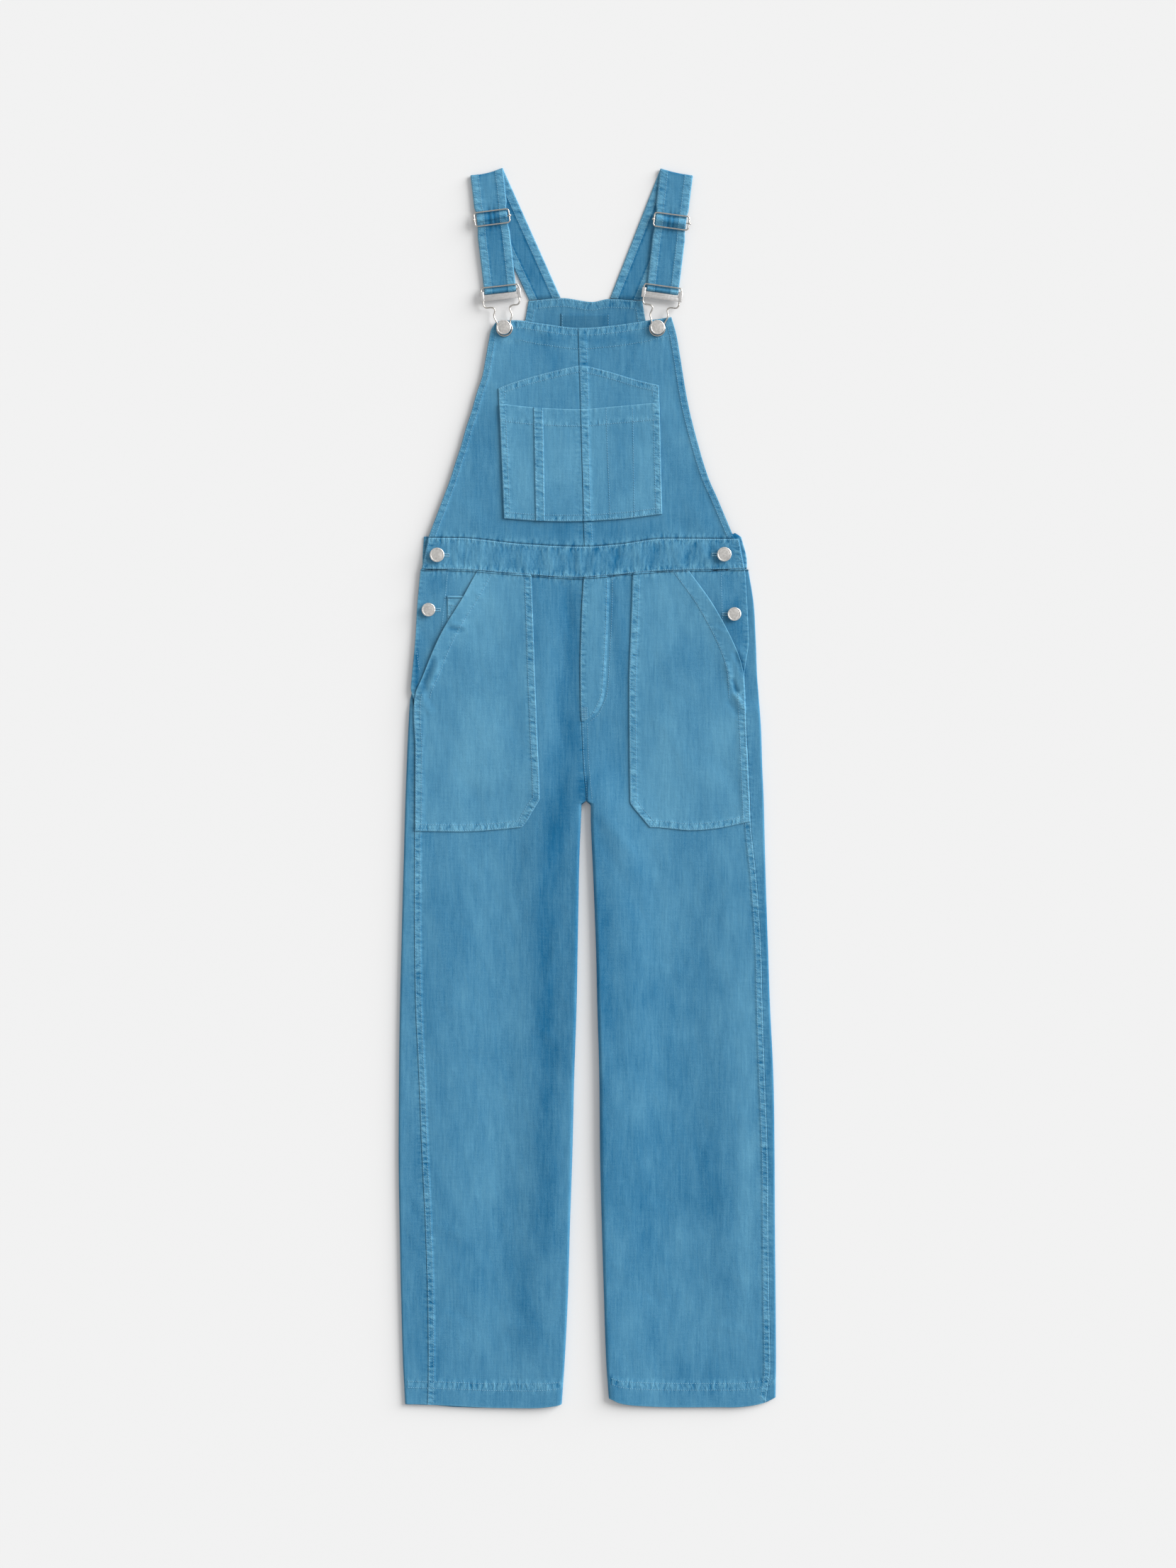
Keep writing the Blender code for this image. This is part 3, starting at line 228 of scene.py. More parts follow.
POCKET_SIDES = table(Span, (0.0, -96.3, 86.5), (1.0, -102.9, 82.7))
OVER_SIDES = table(Span, (0.0, -96.3, 86.5), (1.0, -101.9, 83.4))
POCKET_PEAK = table(
    Edge,
    (-103, 1178.3), (-86, 1185.0), (-50, 1195.4), (-22, 1202.2), (-9, 1204.6), (20, 1198.9), (56, 1188.3),
    (83, 1181.6),
)
POCKET_MOUTH = table(Edge, (-102, 1160.6), (-62, 1156.2), (-8, 1154.1), (29, 1157.0), (84, 1161.9))
POCKET_FOOT = table(Edge, (-96, 1027.8), (-68, 1025.5), (-26, 1024.2), (38, 1027.0), (87, 1033.0))
PENCIL_LAP = table(Span, (0.0, -59.6, -48.8), (1.0, -62.2, -51.2))
POCKET_HEM = 19.5
LEFT_HIP = table(
    Span,
    (667.5, -199.4, -76.0), (671.6, -199.4, -71.8), (686, -199.3, -63.4), (696, -199.2, -57.6), (701, -199.2, -55.1),
    (708, -199.2, -55.0), (760, -199.0, -57.0), (826, -198.6, -59.7), (841, -192.3, -60.3), (895, -168.9, -62.0),
    (936, -143.1, -63.4), (960, -130.0, -64.3), (970, -124.2, -64.6),
)
RIGHT_HIP = table(
    Span,
    (670.5, 72.4, 188.2), (686, 59.8, 187.8), (695, 52.4, 187.6), (699.5, 49.6, 187.5), (706, 49.3, 187.2),
    (760, 48.4, 184.8), (840, 48.0, 181.0), (851, 48.3, 180.0), (876, 49.2, 172.5), (924, 51.0, 146.9),
    (960, 52.2, 120.8), (970, 52.5, 113.6),
)
HIP_FEET = table(
    Edge,
    (-200, -0.8), (-146, -1.6), (-100, 1.0), (-72, 3.6), (0, 0.0), (60, 0.0), (76, 0.4), (120, -3.2), (150, -0.8),
    (189, 7.4),
)
HIP_MOUTH_LOW = 826.0
HIP_HEM = 19.0
GAPE = 2.0
GAPE_REACH = 45.0
COIN = table(Span, (892, -161.8, -160.0), (906, -161.8, -152.4), (938, -161.8, -132.8))
FLY = table(
    Span,
    (793.5, -6.8, -4.6), (797, -7.2, 3.0), (802, -7.6, 9.6), (810, -7.9, 15.4), (825, -8.1, 20.1), (860, -8.3, 22.2),
    (906, -7.2, 24.6), (965, -4.6, 26.0),
)
LABEL = table(Span, (1236, -30.7, 25.8), (1265.3, -30.7, 25.8))

Strip = namedtuple("Strip", "x0 height0 x1 height1")
LEFT_STRAP_FOOT = Strip(-67.4, 1280.4, -30.9, 1283.4)
LEFT_STRAP_FOLD = Strip(-134.9, 1423.0, -97.2, 1431.7)
RIGHT_STRAP_FOOT = Strip(26.0, 1282.4, 63.0, 1280.4)
RIGHT_STRAP_FOLD = Strip(84.0, 1430.9, 121.8, 1422.6)
STRAP_HALF = 18.4
BACK_RUN_Z = STRAP_CLOTH / 2 + 0.25
FRONT_RUN_Z = BACK_RUN_Z + STRAP_CLOTH + 0.85
RETURN_Z = 1.2
FOLD_SAG = {"left": 1.7, "right": 0.7}

# Section of a strap: share of the width and share of the half thickness, once round
Section = namedtuple("Section", "share half")
STRAP_SECTION = table(
    Section,
    (0.0, 0.0), (0.008, 0.6), (0.03, 1.0), (0.10, 1.08), (0.18, 1.08), (0.235, 0.95), (0.275, 0.72), (0.34, 0.73),
    (0.38, 0.74), (0.42, 0.75), (0.46, 0.77), (0.50, 0.78), (0.54, 0.77), (0.58, 0.75), (0.62, 0.74), (0.66, 0.73),
    (0.725, 0.72), (0.765, 0.95), (0.82, 1.08), (0.90, 1.08), (0.97, 1.0), (0.992, 0.6), (1.0, 0.0),
)

Frame = namedtuple("Frame", "x height tilt")
LEFT_SLIDER = Frame(-110.3, 1375.2, 7.2)
RIGHT_SLIDER = Frame(97.2, 1371.0, -7.6)
LEFT_BUCKLE = Frame(-99.5, 1280.5, 6.4)
RIGHT_BUCKLE = Frame(85.5, 1280.6, -8.0)
WIRE = 0.95
SLIDER_HALF_WIDTH = 20.2
SLIDER_HALF_HEIGHT = 8.0
SLIDER_CORNER = 3.0
SLIDER_Z_TOP = 6.1
SLIDER_Z_LOW = 6.7
SLIDER_BAR_Z = 5.3
SLIDER_BAR = 0.8
SLIDER_KNOB = 1.6
STRAP_AT_SLIDER = 0.94
BUCKLE_Z = 5.8
BUCKLE_BAR_Z = 3.45
BUCKLE_BAR_UP = 11.0
BUCKLE_BAR = 1.0
Point = namedtuple("Point", "across up")
HOOK = table(
    Point,
    (20.9, -0.5), (20.8, -4.4), (18.2, -7.5), (12.0, -7.8), (8.9, -9.9), (9.0, -13.1), (10.2, -16.9), (9.9, -20.6),
    (7.9, -25.4),
)
KEYHOLE_DOWN = 33.4
KEYHOLE_RADIUS = 8.7
PLATE_HALF = 23.6
EAR_WIDTH = 4.3
EAR_TOP = 11.4
PLATE_TOP = 7.2
RIDGE_TOP = 4.4

Button = namedtuple("Button", "name x height radius lift hole")
BUTTONS = table(
    Button,
    ("bib_button_left", -96.6, 1248.4, 8.5, 0.5, 0), ("bib_button_right", 81.0, 1248.4, 8.5, 0.5, 0),
    ("waist_button_left", -173.4, 985.5, 8.5, 1.0, 1), ("waist_button_right", 158.0, 986.2, 8.5, 1.0, -1),
    ("side_button_left", -183.3, 922.3, 8.0, 0.0, 1), ("side_button_right", 169.7, 917.3, 8.0, 0.0, -1),
)

# Softly paler and deeper strokes, deeper below zero: uneven dye, with painted shade in the fold valleys, the creases,
# the crotch and the gap behind the back waistband's curled end, and painted highlights on some fold and crease ridges
DYE_AND_PAINTED_LIGHT_STROKES = table(
    Fold,
    (-18, 950, -24, 800, 10, -0.20), (-24, 800, -33, 690, 11, -0.28), (-33, 690, -46, 545, 12, -0.32),
    (-46, 545, -48, 400, 13, -0.28), (-48, 400, -50, 180, 12, -0.20), (-7, 776, -5, 730, 5, -0.16),
    (-5, 730, -3, 700, 5, -0.34), (-92, 690, -92, 560, 14, 0.06), (-9, 690, -15, 420, 4, -0.12),
    (-26, 640, -36, 300, 7, 0.08), (-122, 650, -104, 420, 28, 0.05), (-110, 400, -124, 180, 24, 0.10),
    (-160, 400, -140, 120, 16, -0.10), (-190, 240, -184, 40, 10, -0.06), (-207, 660, -212, 60, 6, 0.06),
    (-90, 240, -70, 60, 16, -0.10), (-100, 110, -60, 40, 20, 0.06), (10, 700, 16, 430, 12, -0.24),
    (16, 430, 24, 60, 9, -0.14), (110, 640, 120, 520, 18, 0.06), (56, 640, 60, 440, 12, -0.06),
    (156, 620, 130, 480, 16, -0.08), (96, 415, 100, 225, 38, -0.12), (178, 590, 150, 500, 9, 0.08),
    (70, 490, 120, 450, 14, -0.08), (66, 330, 60, 160, 16, -0.06), (100, 200, 112, 60, 18, 0.04),
    (182, 560, 186, 60, 9, 0.16), (140, 380, 150, 140, 12, -0.12), (204, 600, 214, 120, 6, -0.12),
    (150, 110, 120, 50, 16, 0.08), (-150, 880, -110, 960, 22, 0.10), (-172, 760, -165, 690, 14, -0.08),
    (-84, 900, -74, 740, 12, -0.12), (-130, 820, -120, 720, 22, 0.10), (76, 950, 90, 860, 16, 0.10),
    (96, 880, 160, 840, 16, -0.14), (156, 800, 150, 720, 14, 0.10), (88, 800, 80, 700, 14, 0.06),
    (70, 850, 62, 770, 8, -0.06), (170, 935, 178, 880, 9, -0.14), (-178, 960, -164, 950, 10, -0.16),
    (-200, 870, -197, 830, 5, -0.14), (26, 955, 44, 820, 6, -0.12), (8, 950, 8, 850, 6, 0.06),
    (-60, 1236, 60, 1236, 5, -0.10), (-100, 1222, -112, 1160, 9, 0.10), (-50, 1215, -20, 1216, 10, -0.08),
    (-142, 1110, -160, 1040, 9, 0.05), (104, 1220, 112, 1160, 8, -0.08), (112, 1130, 140, 1060, 9, 0.06),
    (-26, 1110, -26, 1070, 14, 0.14), (32, 1140, 42, 1060, 9, -0.10), (66, 1110, 66, 1050, 12, 0.08),
    (-80, 1110, -80, 1060, 8, 0.05), (-90, 1014, 90, 1014, 8, -0.10), (168, 1012, 175, 1009, 3.2, -1.6),
    (-17, 998, -15, 966, 2.2, -0.30), (-140, 1000, -146, 972, 3.5, -0.14), (-92, 996, -88, 970, 4, -0.18),
    (-60, 994, -58, 968, 4, -0.14), (10, 994, -2, 968, 3.5, -0.18), (35, 995, 32, 968, 4, -0.22),
    (82, 998, 74, 970, 4, -0.18), (122, 999, 111, 974, 3.5, -0.26), (145, 996, 138, 980, 3, -0.18),
    (-122, 997, -128, 974, 4, 0.12), (-46, 994, -40, 966, 4, 0.12), (56, 996, 66, 970, 5, 0.14),
    (100, 999, 106, 972, 5, 0.12), (131, 999, 141, 972, 3, 0.14), (-178, 866, -190, 834, 2.6, -0.40),
    (-171, 860, -182, 832, 2.4, 0.14), (-188, 834, -193, 822, 2.0, -0.34), (-160, 901, -144, 898, 1.6, -0.34),
    (-196.5, 880, -197.5, 832, 1.5, -0.30), (172, 874, 182, 846, 3.0, -0.34), (160, 862, 168, 832, 2.4, 0.14),
    (167, 842, 174, 826, 1.8, -0.42), (168, 827, 182, 808, 2.0, 0.22), (162, 818, 176, 798, 2.6, -0.14),
)

LEGS = {"left": LEFT_LEG, "right": RIGHT_LEG}
HIPS = {"left": LEFT_HIP, "right": RIGHT_HIP}
Strap = namedtuple("Strap", "foot fold slider buckle")
STRAPS = {
    "left": Strap(LEFT_STRAP_FOOT, LEFT_STRAP_FOLD, LEFT_SLIDER, LEFT_BUCKLE),
    "right": Strap(RIGHT_STRAP_FOOT, RIGHT_STRAP_FOLD, RIGHT_SLIDER, RIGHT_BUCKLE),
}

# Single seams beside the hip openings: the ends of each in x and height
PLACKET_SEAMS = (
    (-161.1, 966.0, -168.5, 896.0), (154.5, 966.0, 156.5, 906.0), (-160.4, 935.0, -160.4, 900.0),
    (-156.4, 926.0, -156.4, 902.0), (-160.0, 928.0, -146.0, 926.5), (-197.2, 875.5, -194.0, 852.5),
)
FLY_BEND = ((25.8, 958.6), (24.6, 906.0), (20.1, 825.0), (9.4, 802.2), (0.4, 795.4))

# The buckle wire's round shoulder, from its middle bar down to its hook, in the buckle's own frame
WIRE_SHOULDER = ((18.4, 15.8), (21.2, 14.6), (21.9, 11.6), (21.5, 5.0))

# The studio, in metres and radians
FLOOR_HALF = 6.0
FLOOR_Z = -0.0002
KEY_SIDE = math.radians(28.0)
KEY_SPREAD = math.radians(44.0)
VIEW_WIDTH = 1.8138
CAMERA_OVER = (0.0008, 0.0041)


def smooth_step(value):
    value = np.clip(value, 0.0, 1.0)
    return value * value * (3 - 2 * value)


def within(distance, width, fall=1.2):
    """1 nearer to an edge than a width, and 0 from a short way inside that on."""
    return smooth_step((width - distance) / fall)


def between(low, high, share):
    return low + (high - low) * share


def least(*distances):
    return np.minimum.reduce(np.broadcast_arrays(*distances))


def side_in(x):
    """Distance of each point from the nearer end of its row."""
    return least(np.abs(x - x[:, :1]), np.abs(x - x[:, -1:]))


def close_to(distance, reach):
    return np.exp(-((distance / reach) ** 2))


def rolled(distance, radius):
    """How far a folded edge drops at a distance in from it."""
    share = np.clip(1 - distance / radius, 0.0, 1.0)
    return radius * (1 - np.sqrt(np.clip(1 - share * share, 0.0, 1.0)))


def read(table, keys, column="height"):
    """A column of a table at any places along its first column, on a smooth curve through its rows."""
    marks = np.array([row[0] for row in table], float)
    values = np.array([getattr(row, column) for row in table], float)
    steps = np.diff(values) / np.diff(marks)
    before = np.concatenate([steps[:1], steps])
    after = np.concatenate([steps, steps[-1:]])
    slopes = np.where(before * after < 0, 0.0, (before + after) / 2)
    keys = np.clip(keys, marks[0], marks[-1])
    i = np.clip(np.searchsorted(marks, keys, side="right") - 1, 0, len(marks) - 2)
    width = marks[i + 1] - marks[i]
    t = (keys - marks[i]) / width
    start, end = slopes[i] * width, slopes[i + 1] * width
    rise = values[i + 1] - values[i]
    return values[i] + t * (start + t * (3 * rise - 2 * start - end + t * (start + end - 2 * rise)))


def folded(x, height, folds):
    """Height that a table of folds adds at each point."""
    total = np.zeros_like(x + height)
    for fold in folds:
        along_x, along_y = fold.x1 - fold.x0, fold.height1 - fold.height0
        away_x, away_y = x - fold.x0, height - fold.height0
        share = (away_x * along_x + away_y * along_y) / (along_x**2 + along_y**2)
        ends = smooth_step(share * 4 + 0.5) * smooth_step((1 - share) * 4 + 0.5)
        off = np.hypot(away_x - along_x * share, away_y - along_y * share) / fold.width
        total += fold.rise * ends * np.exp(-off * off / 2)
    return total


def inner_rise(x, height):
    """How much higher the legs lie towards their inner edges."""
    share = smooth_step((780 - height) / 90) * between(0.55, 1.0, smooth_step(height / 300))
    left, right = (
        smooth_step(1 - way * (x - read(LEGS[side], height, "inner")) / INNER_REACH) * INNER_RISE[side]
        for side, way in WAYS.items()
    )
    return share * np.where(x < 0, left, right)


def plain_lay(x, height):
    """Level of the front layer with the large folds alone, for what is sewn or set on it."""
    x, height = np.broadcast_arrays(np.asarray(x, float), np.asarray(height, float))
    return read(LEVELS, height, "z") + folded(x, height, FOLDS) + inner_rise(x, height)


def lay(x, height):
    """Upper face of the front layer above the floor, with its folds and creases."""
    x, height = np.broadcast_arrays(np.asarray(x, float), np.asarray(height, float))
    return plain_lay(x, height) + folded(x, height, CREASES)


def place(x, height, z):
    return Vector((x, height - LENGTH / 2, z)) * MM


def across(start, end, near_start, steps, near_end):
    """Columns between two edges: fixed distances in from each edge and equal steps between."""
    start, end = np.atleast_1d(start)[:, None], np.atleast_1d(end)[:, None]
    way = np.where(end > start, 1.0, -1.0)
    first = start + way * np.array(near_start)[None, :]
    last = end - way * np.array(near_end)[None, ::-1]
    share = np.arange(1, steps)[None, :] / steps
    return np.hstack([first, between(first[:, -1:], last[:, :1], share), last])


def rows_between(low, high, near_low, step, near_high):
    """Heights between two ends: fixed distances in from each end and about equal steps between."""
    first, last = low + np.array(near_low), high - np.array(near_high)[::-1]
    count = max(2, round((last[0] - first[-1]) / step))
    return np.concatenate([first, np.linspace(first[-1], last[0], count + 1)[1:-1], last])


def shares_between(near, tall, count):
    """Shares of a piece's height: close rows near both ends and equal steps between."""
    near = np.array(near) / tall
    return np.concatenate([near, np.linspace(near[-1], 1 - near[-1], count)[1:-1], 1 - near[::-1]])


def leg_height(x, row):
    at_hem = read(HEM_ENDS, x) * smooth_step((70 - row) / 70)
    under_band = (read(BAND_LOW, x) - GAP - WAIST_LOW) * smooth_step((row - 880) / 85)
    return row + at_hem + under_band


def to_mesh(build, name):
    mesh = bpy.data.meshes.new(name)
    build.to_mesh(mesh)
    build.free()
    return mesh


def sheet_mesh(name, x, height, z, up=True):
    """A grid of cloth moved to its place; up says which way its outer face looks."""
    rows, columns = x.shape
    build = bmesh.new()
    bmesh.ops.create_grid(build, x_segments=columns - 1, y_segments=rows - 1, size=0.5)
    turn = np.gradient(x, axis=1) * np.gradient(height, axis=0) - np.gradient(height, axis=1) * np.gradient(x, axis=0)
    if (turn.sum() > 0) != up:
        bmesh.ops.reverse_faces(build, faces=build.faces)
    mesh = to_mesh(build, name)
    if len(mesh.vertices) != rows * columns:
        raise RuntimeError(f"{name}: the grid has {len(mesh.vertices)} points, not {rows * columns}")
    spots = np.empty(len(mesh.vertices) * 3)
    mesh.vertices.foreach_get("co", spots)
    spots = spots.reshape(-1, 3)
    j = np.rint((spots[:, 0] + 0.5) * (columns - 1)).astype(int)
    i = np.rint((spots[:, 1] + 0.5) * (rows - 1)).astype(int)
    moved = np.stack([x[i, j], height[i, j] - LENGTH / 2, z[i, j]], 1) * MM
    mesh.vertices.foreach_set("co", moved.ravel())
    mesh.update()
    mesh.shade_smooth()
    return mesh, (i, j)


def mark(mesh, spots, **grids):
    """Keeps each grid of values as an attribute of the mesh's points."""
    for name, grid in grids.items():
        layer = mesh.attributes.new(name, "FLOAT", "POINT")
        layer.data.foreach_set("value", np.ascontiguousarray(grid[spots], dtype=np.float32))


def add_object(name, mesh, nodes, material, slot=None):
    """Puts a finished mesh in the scene in place of the nodes it stands for."""
    piece = bpy.data.objects.new(name, mesh)
    bpy.context.collection.objects.link(piece)
    mesh.materials.append(get_material(material))
    if nodes:
        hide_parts(*nodes)
    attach(piece, "root")
    slot or nodes[0]
    return piece


def add_cloth(node, grids, wall, tone, seams=(), edge=None, up=True, material="washed_twill"):
    """A sheet of twill with its wall, its dye with painted shade and highlights, its worn edges and the puckers along
    its seams.

    Each seam is (distance from it in millimetres, its reach, 1 where it runs across, strength);
    edge is the distance from the nearest edge that the wash has paled."""
    x, height, z = grids
    mesh, spots = sheet_mesh(f"{node}_cloth", x, height, z, up)
    pucker, turn = np.zeros_like(x), np.zeros_like(x)
    for distance, reach, lies_across, strength in seams:
        near = close_to(distance, reach) * strength
        turn = np.where(near > pucker, lies_across, turn)
        pucker = np.maximum(pucker, near)
    # The piece's tone plus the strokes: uneven dye, painted shade in folds, creases and hollows, and painted
    # highlights on ridges
    fade = tone + folded(x, height, DYE_AND_PAINTED_LIGHT_STROKES)
    if edge is not None:
        fade = fade + WORN * close_to(edge - 0.3, 0.9)
    mark(mesh, spots, fade=fade, pucker=pucker, turn=turn)
    piece = add_object(f"{node}_cloth", mesh, [node], material)
    solid = piece.modifiers.new("wall", "SOLIDIFY")
    solid.thickness = wall * MM
    solid.offset = -1.0
    return piece


# Materials -----------------------------------------------------------------


class Tree:
    """Small helper that adds nodes to a tree and links them."""

    def __init__(self, tree):
        self.tree = tree

    def add(self, kind, **settings):
        node = self.tree.nodes.new(kind)
        for key, value in settings.items():
            setattr(node, key, value)
        return node

    def link(self, source, target):
        self.tree.links.new(source, target)

    def math(self, operation, a, b, clamp=False):
        node = self.add("ShaderNodeMath", operation=operation, use_clamp=clamp)
        for socket, value in zip(node.inputs, (a, b)):
            if isinstance(value, (int, float)):
                socket.default_value = value
            else:
                self.link(value, socket)
        return node.outputs[0]

    def total(self, base, *terms):
        """A base value with each term's value added, times its weight."""
        for value, weight in terms:
            base = self.math("ADD", self.math("MULTIPLY", value, weight), base)
        return base

    def centred(self, output):
        return self.math("SUBTRACT", output, 0.5)

    def mapped(self, vector, stretch=(1.0, 1.0, 1.0), turn=0.0):
        mapping = self.add("ShaderNodeMapping")
        mapping.inputs["Scale"].default_value = stretch
        mapping.inputs["Rotation"].default_value = (0.0, 0.0, turn)
        self.link(vector, mapping.inputs["Vector"])
        return mapping.outputs["Vector"]

    def texture(self, kind, vector, values, **settings):
        node = self.add(kind, **settings)
        for key, value in values.items():
            node.inputs[key].default_value = value
        self.link(vector, node.inputs["Vector"])
        return self.centred(node.outputs["Fac"])

    def noise(self, vector, scale, detail, roughness):
        """Noise about zero; a scale of three numbers stretches it."""
        if not isinstance(scale, float):
            vector, scale = self.mapped(vector, scale), 1.0
        return self.texture(
            "ShaderNodeTexNoise", vector, {"Scale": scale, "Detail": detail, "Roughness": roughness}
        )

    def mixed(self, factor, first, second):
        """A colour between two others."""
        blend = self.add("ShaderNodeMix", data_type="RGBA")
        self.link(factor, blend.inputs["Factor"])
        blend.inputs[6].default_value = (*first, 1.0)
        blend.inputs[7].default_value = (*second, 1.0)
        return blend.outputs[2]

    def bump(self, height, distance, strength=1.0):
        node = self.add("ShaderNodeBump")
        node.inputs["Strength"].default_value = strength
        node.inputs["Distance"].default_value = distance
        self.link(height, node.inputs["Height"])
        return node.outputs["Normal"]


def twill_group():
    """Dye with painted shade and highlights, twill lines, slubs and seam puckers as one colour and one normal."""
    group = bpy.data.node_groups.get("twill_surface")
    if group:
        return group
    group = bpy.data.node_groups.new("twill_surface", "ShaderNodeTree")
    for name, way, kind in (
        ("Deep", "INPUT", "Color"),
        ("Pale", "INPUT", "Color"),
        ("Colour", "OUTPUT", "Color"),
        ("Normal", "OUTPUT", "Vector"),
    ):
        group.interface.new_socket(name, in_out=way, socket_type=f"NodeSocket{kind}")
    t = Tree(group)
    given, out = t.add("NodeGroupInput"), t.add("NodeGroupOutput")
    place_on = t.add("ShaderNodeTexCoord").outputs["Object"]
    fade, pucker, turn = (
        t.add("ShaderNodeAttribute", attribute_name=name).outputs["Fac"] for name in ("fade", "pucker", "turn")
    )
    clouds = t.noise(place_on, (17.0, 7.0, 10.0), 3.0, 0.55)
    patches = t.noise(place_on, (60.0, 24.0, 20.0), 4.0, 0.6)
    slubs = t.noise(place_on, (520.0, 34.0, 60.0), 3.0, 0.6)
    picks = t.noise(place_on, (60.0, 700.0, 60.0), 2.0, 0.6)
    crumple = t.noise(place_on, (60.0, 34.0, 40.0), 5.0, 0.55)
    grain = t.noise(place_on, 1300.0, 1.0, 0.5)
    wave = {"wave_type": "BANDS", "bands_direction": "DIAGONAL"}
    twill = t.texture("ShaderNodeTexWave", place_on, {"Scale": 460.0, "Distortion": 0.6}, **wave)
    mix = t.add("ShaderNodeMix", data_type="FLOAT")
    t.link(turn, mix.inputs["Factor"])
    beads = {"Scale": 54.0, "Distortion": 7.0, "Detail": 2.0, "Detail Scale": 3.0}
    for socket, direction, slant, stretch in (
        ("A", "Y", 0.3, (70.0, 230.0, 20.0)),
        ("B", "X", 0.15, (230.0, 70.0, 20.0)),
    ):
        wave["bands_direction"] = direction
        bead = t.texture("ShaderNodeTexWave", t.mapped(place_on, turn=slant), beads, **wave)
        rough = t.noise(t.mapped(place_on, stretch, slant), 1.0, 2.0, 0.5)
        t.link(t.total(rough, (bead, 0.16)), mix.inputs[socket])
    ripple = t.math("MULTIPLY", mix.outputs["Result"], pucker)
    shade = t.total(
        t.math("ADD", fade, 0.44),
        (clouds, 0.62), (patches, 0.42), (slubs, 0.50), (picks, 0.18),
        (grain, 0.50), (twill, 0.08), (ripple, 2.15), (pucker, 0.13),
    )
    blend = t.add("ShaderNodeMix", data_type="RGBA", clamp_factor=False)
    t.link(t.math("MINIMUM", t.math("MAXIMUM", shade, 0.0), 1.4), blend.inputs["Factor"])
    t.link(given.outputs["Deep"], blend.inputs[6])
    t.link(given.outputs["Pale"], blend.inputs[7])
    t.link(blend.outputs[2], out.inputs["Colour"])
    fine = 0.00004
    height = t.total(
        t.math("MULTIPLY", ripple, 0.0012),
        (crumple, 0.0009), (slubs, 2 * fine), (picks, fine), (twill, fine), (grain, fine),
    )
    t.link(t.bump(height, 1.0), out.inputs["Normal"])
    return group


def new_material(name, constants):
    """A material with its shader's constants, a helper, its shader and its coordinates."""
    material = bpy.data.materials.new(name)
    material.use_nodes = True
    shader = material.node_tree.nodes["Principled BSDF"]
    for key, value in constants.items():
        shader.inputs[key].default_value = value
    t = Tree(material.node_tree)
    return material, t, shader, t.add("ShaderNodeTexCoord").outputs["Object"]


def scaled(colour, share):
    return [min(1.0, c * share) for c in colour]


def twill(name, share):
    """Twill in a share of the dyes' brightness."""
    rough = {"Roughness": 0.92, "Specular IOR Level": 0.08, "Sheen Weight": 0.04, "Sheen Roughness": 0.5}
    material, t, shader, _ = new_material(name, rough)
    surface = t.add("ShaderNodeGroup", node_tree=twill_group())
    dyes = bpy.context.scene.overalls_dye
    surface.inputs["Deep"].default_value = (*scaled(dyes.deep, share), 1.0)
    surface.inputs["Pale"].default_value = (*scaled(dyes.pale, share), 1.0)
    t.link(surface.outputs["Colour"], shader.inputs["Base Color"])
    t.link(surface.outputs["Normal"], shader.inputs["Normal"])
    return material


def thread(name):
    """Polished cotton thread, a little paler than the cloth, with its ply and uneven dye."""
    material, t, shader, place_on = new_material(name, {"Roughness": 0.7, "Specular IOR Level": 0.25})
    uneven = t.noise(place_on, 160.0, 2.0, 0.5)
    factor = t.math("ADD", t.math("MULTIPLY", uneven, 1.6), 0.5, clamp=True)
    dye = bpy.context.scene.overalls_dye.thread
    t.link(t.mixed(factor, scaled(dye, 0.72), scaled(dye, 1.18)), shader.inputs["Base Color"])
    t.link(t.bump(t.noise(place_on, 2600.0, 1.0, 0.5), 0.0001), shader.inputs["Normal"])
    return material


def nickel(name, tint, roughness, wear):
    """Nickel plate with fine brushing, dull patches and small dents."""
    material, t, shader, place_on = new_material(name, {"Metallic": 1.0})
    dull = t.noise(place_on, 420.0, 4.0, 0.6)
    brushed = t.noise(t.mapped(place_on, (500.0, 5200.0, 900.0), 0.5), 1.0, 2.0, 0.6)
    dents = t.noise(place_on, 700.0, 3.0, 0.6)
    factor = t.math("ADD", t.math("MULTIPLY", dull, 2.2), 0.5, clamp=True)
    tint = getattr(bpy.context.scene.overalls_metal, tint)
    t.link(t.mixed(factor, scaled(tint, 1 - wear), scaled(tint, 1 + wear * 0.6)), shader.inputs["Base Color"])
    rough = t.math("ADD", t.math("MULTIPLY", dull, 0.25), roughness)
    t.link(t.total(rough, (brushed, 0.2)), shader.inputs["Roughness"])
    t.link(t.bump(t.total(t.math("MULTIPLY", dents, 0.7), (brushed, 0.15)), 0.0003, 0.6), shader.inputs["Normal"])
    return material


def studio_floor(name):
    material, t, shader, place_on = new_material(name, {"Roughness": 0.9, "Specular IOR Level": 0.05})
    factor = t.math("ADD", t.noise(place_on, 1.2, 2.0, 0.5), 0.5, clamp=True)
    tone = bpy.context.scene.overalls_studio.floor
    t.link(t.mixed(factor, scaled(tone, 0.995), tone), shader.inputs["Base Color"])
    return material


# Each material's maker and what it is given
MATERIALS = {
    "washed_twill": (twill, 1.0),
    "inside_twill": (twill, 0.92),
    "label_twill": (twill, 0.8),
    "sewing_thread": (thread,),
    "nickel_wire": (nickel, "wire", 0.3, 0.15),
    "nickel_plate": (nickel, "plate", 0.42, 0.1),
    "nickel_button": (nickel, "button", 0.4, 0.22),
    "studio_floor": (studio_floor,),
}


def get_material(name):
    make, *given = MATERIALS[name]
    return bpy.data.materials.get(name) or make(name, *given)


# Settings ------------------------------------------------------------------


def size(name, description, default, least_size):
    return FloatProperty(name=name, description=description, default=default, min=least_size, unit="LENGTH")


def strength(name, description, default):
    return FloatProperty(name=name, description=description, default=default, min=0.0)


def colour(name, description, default):
    return FloatVectorProperty(
        name=name, description=description, default=default, subtype="COLOR", min=0.0, max=1.0
    )


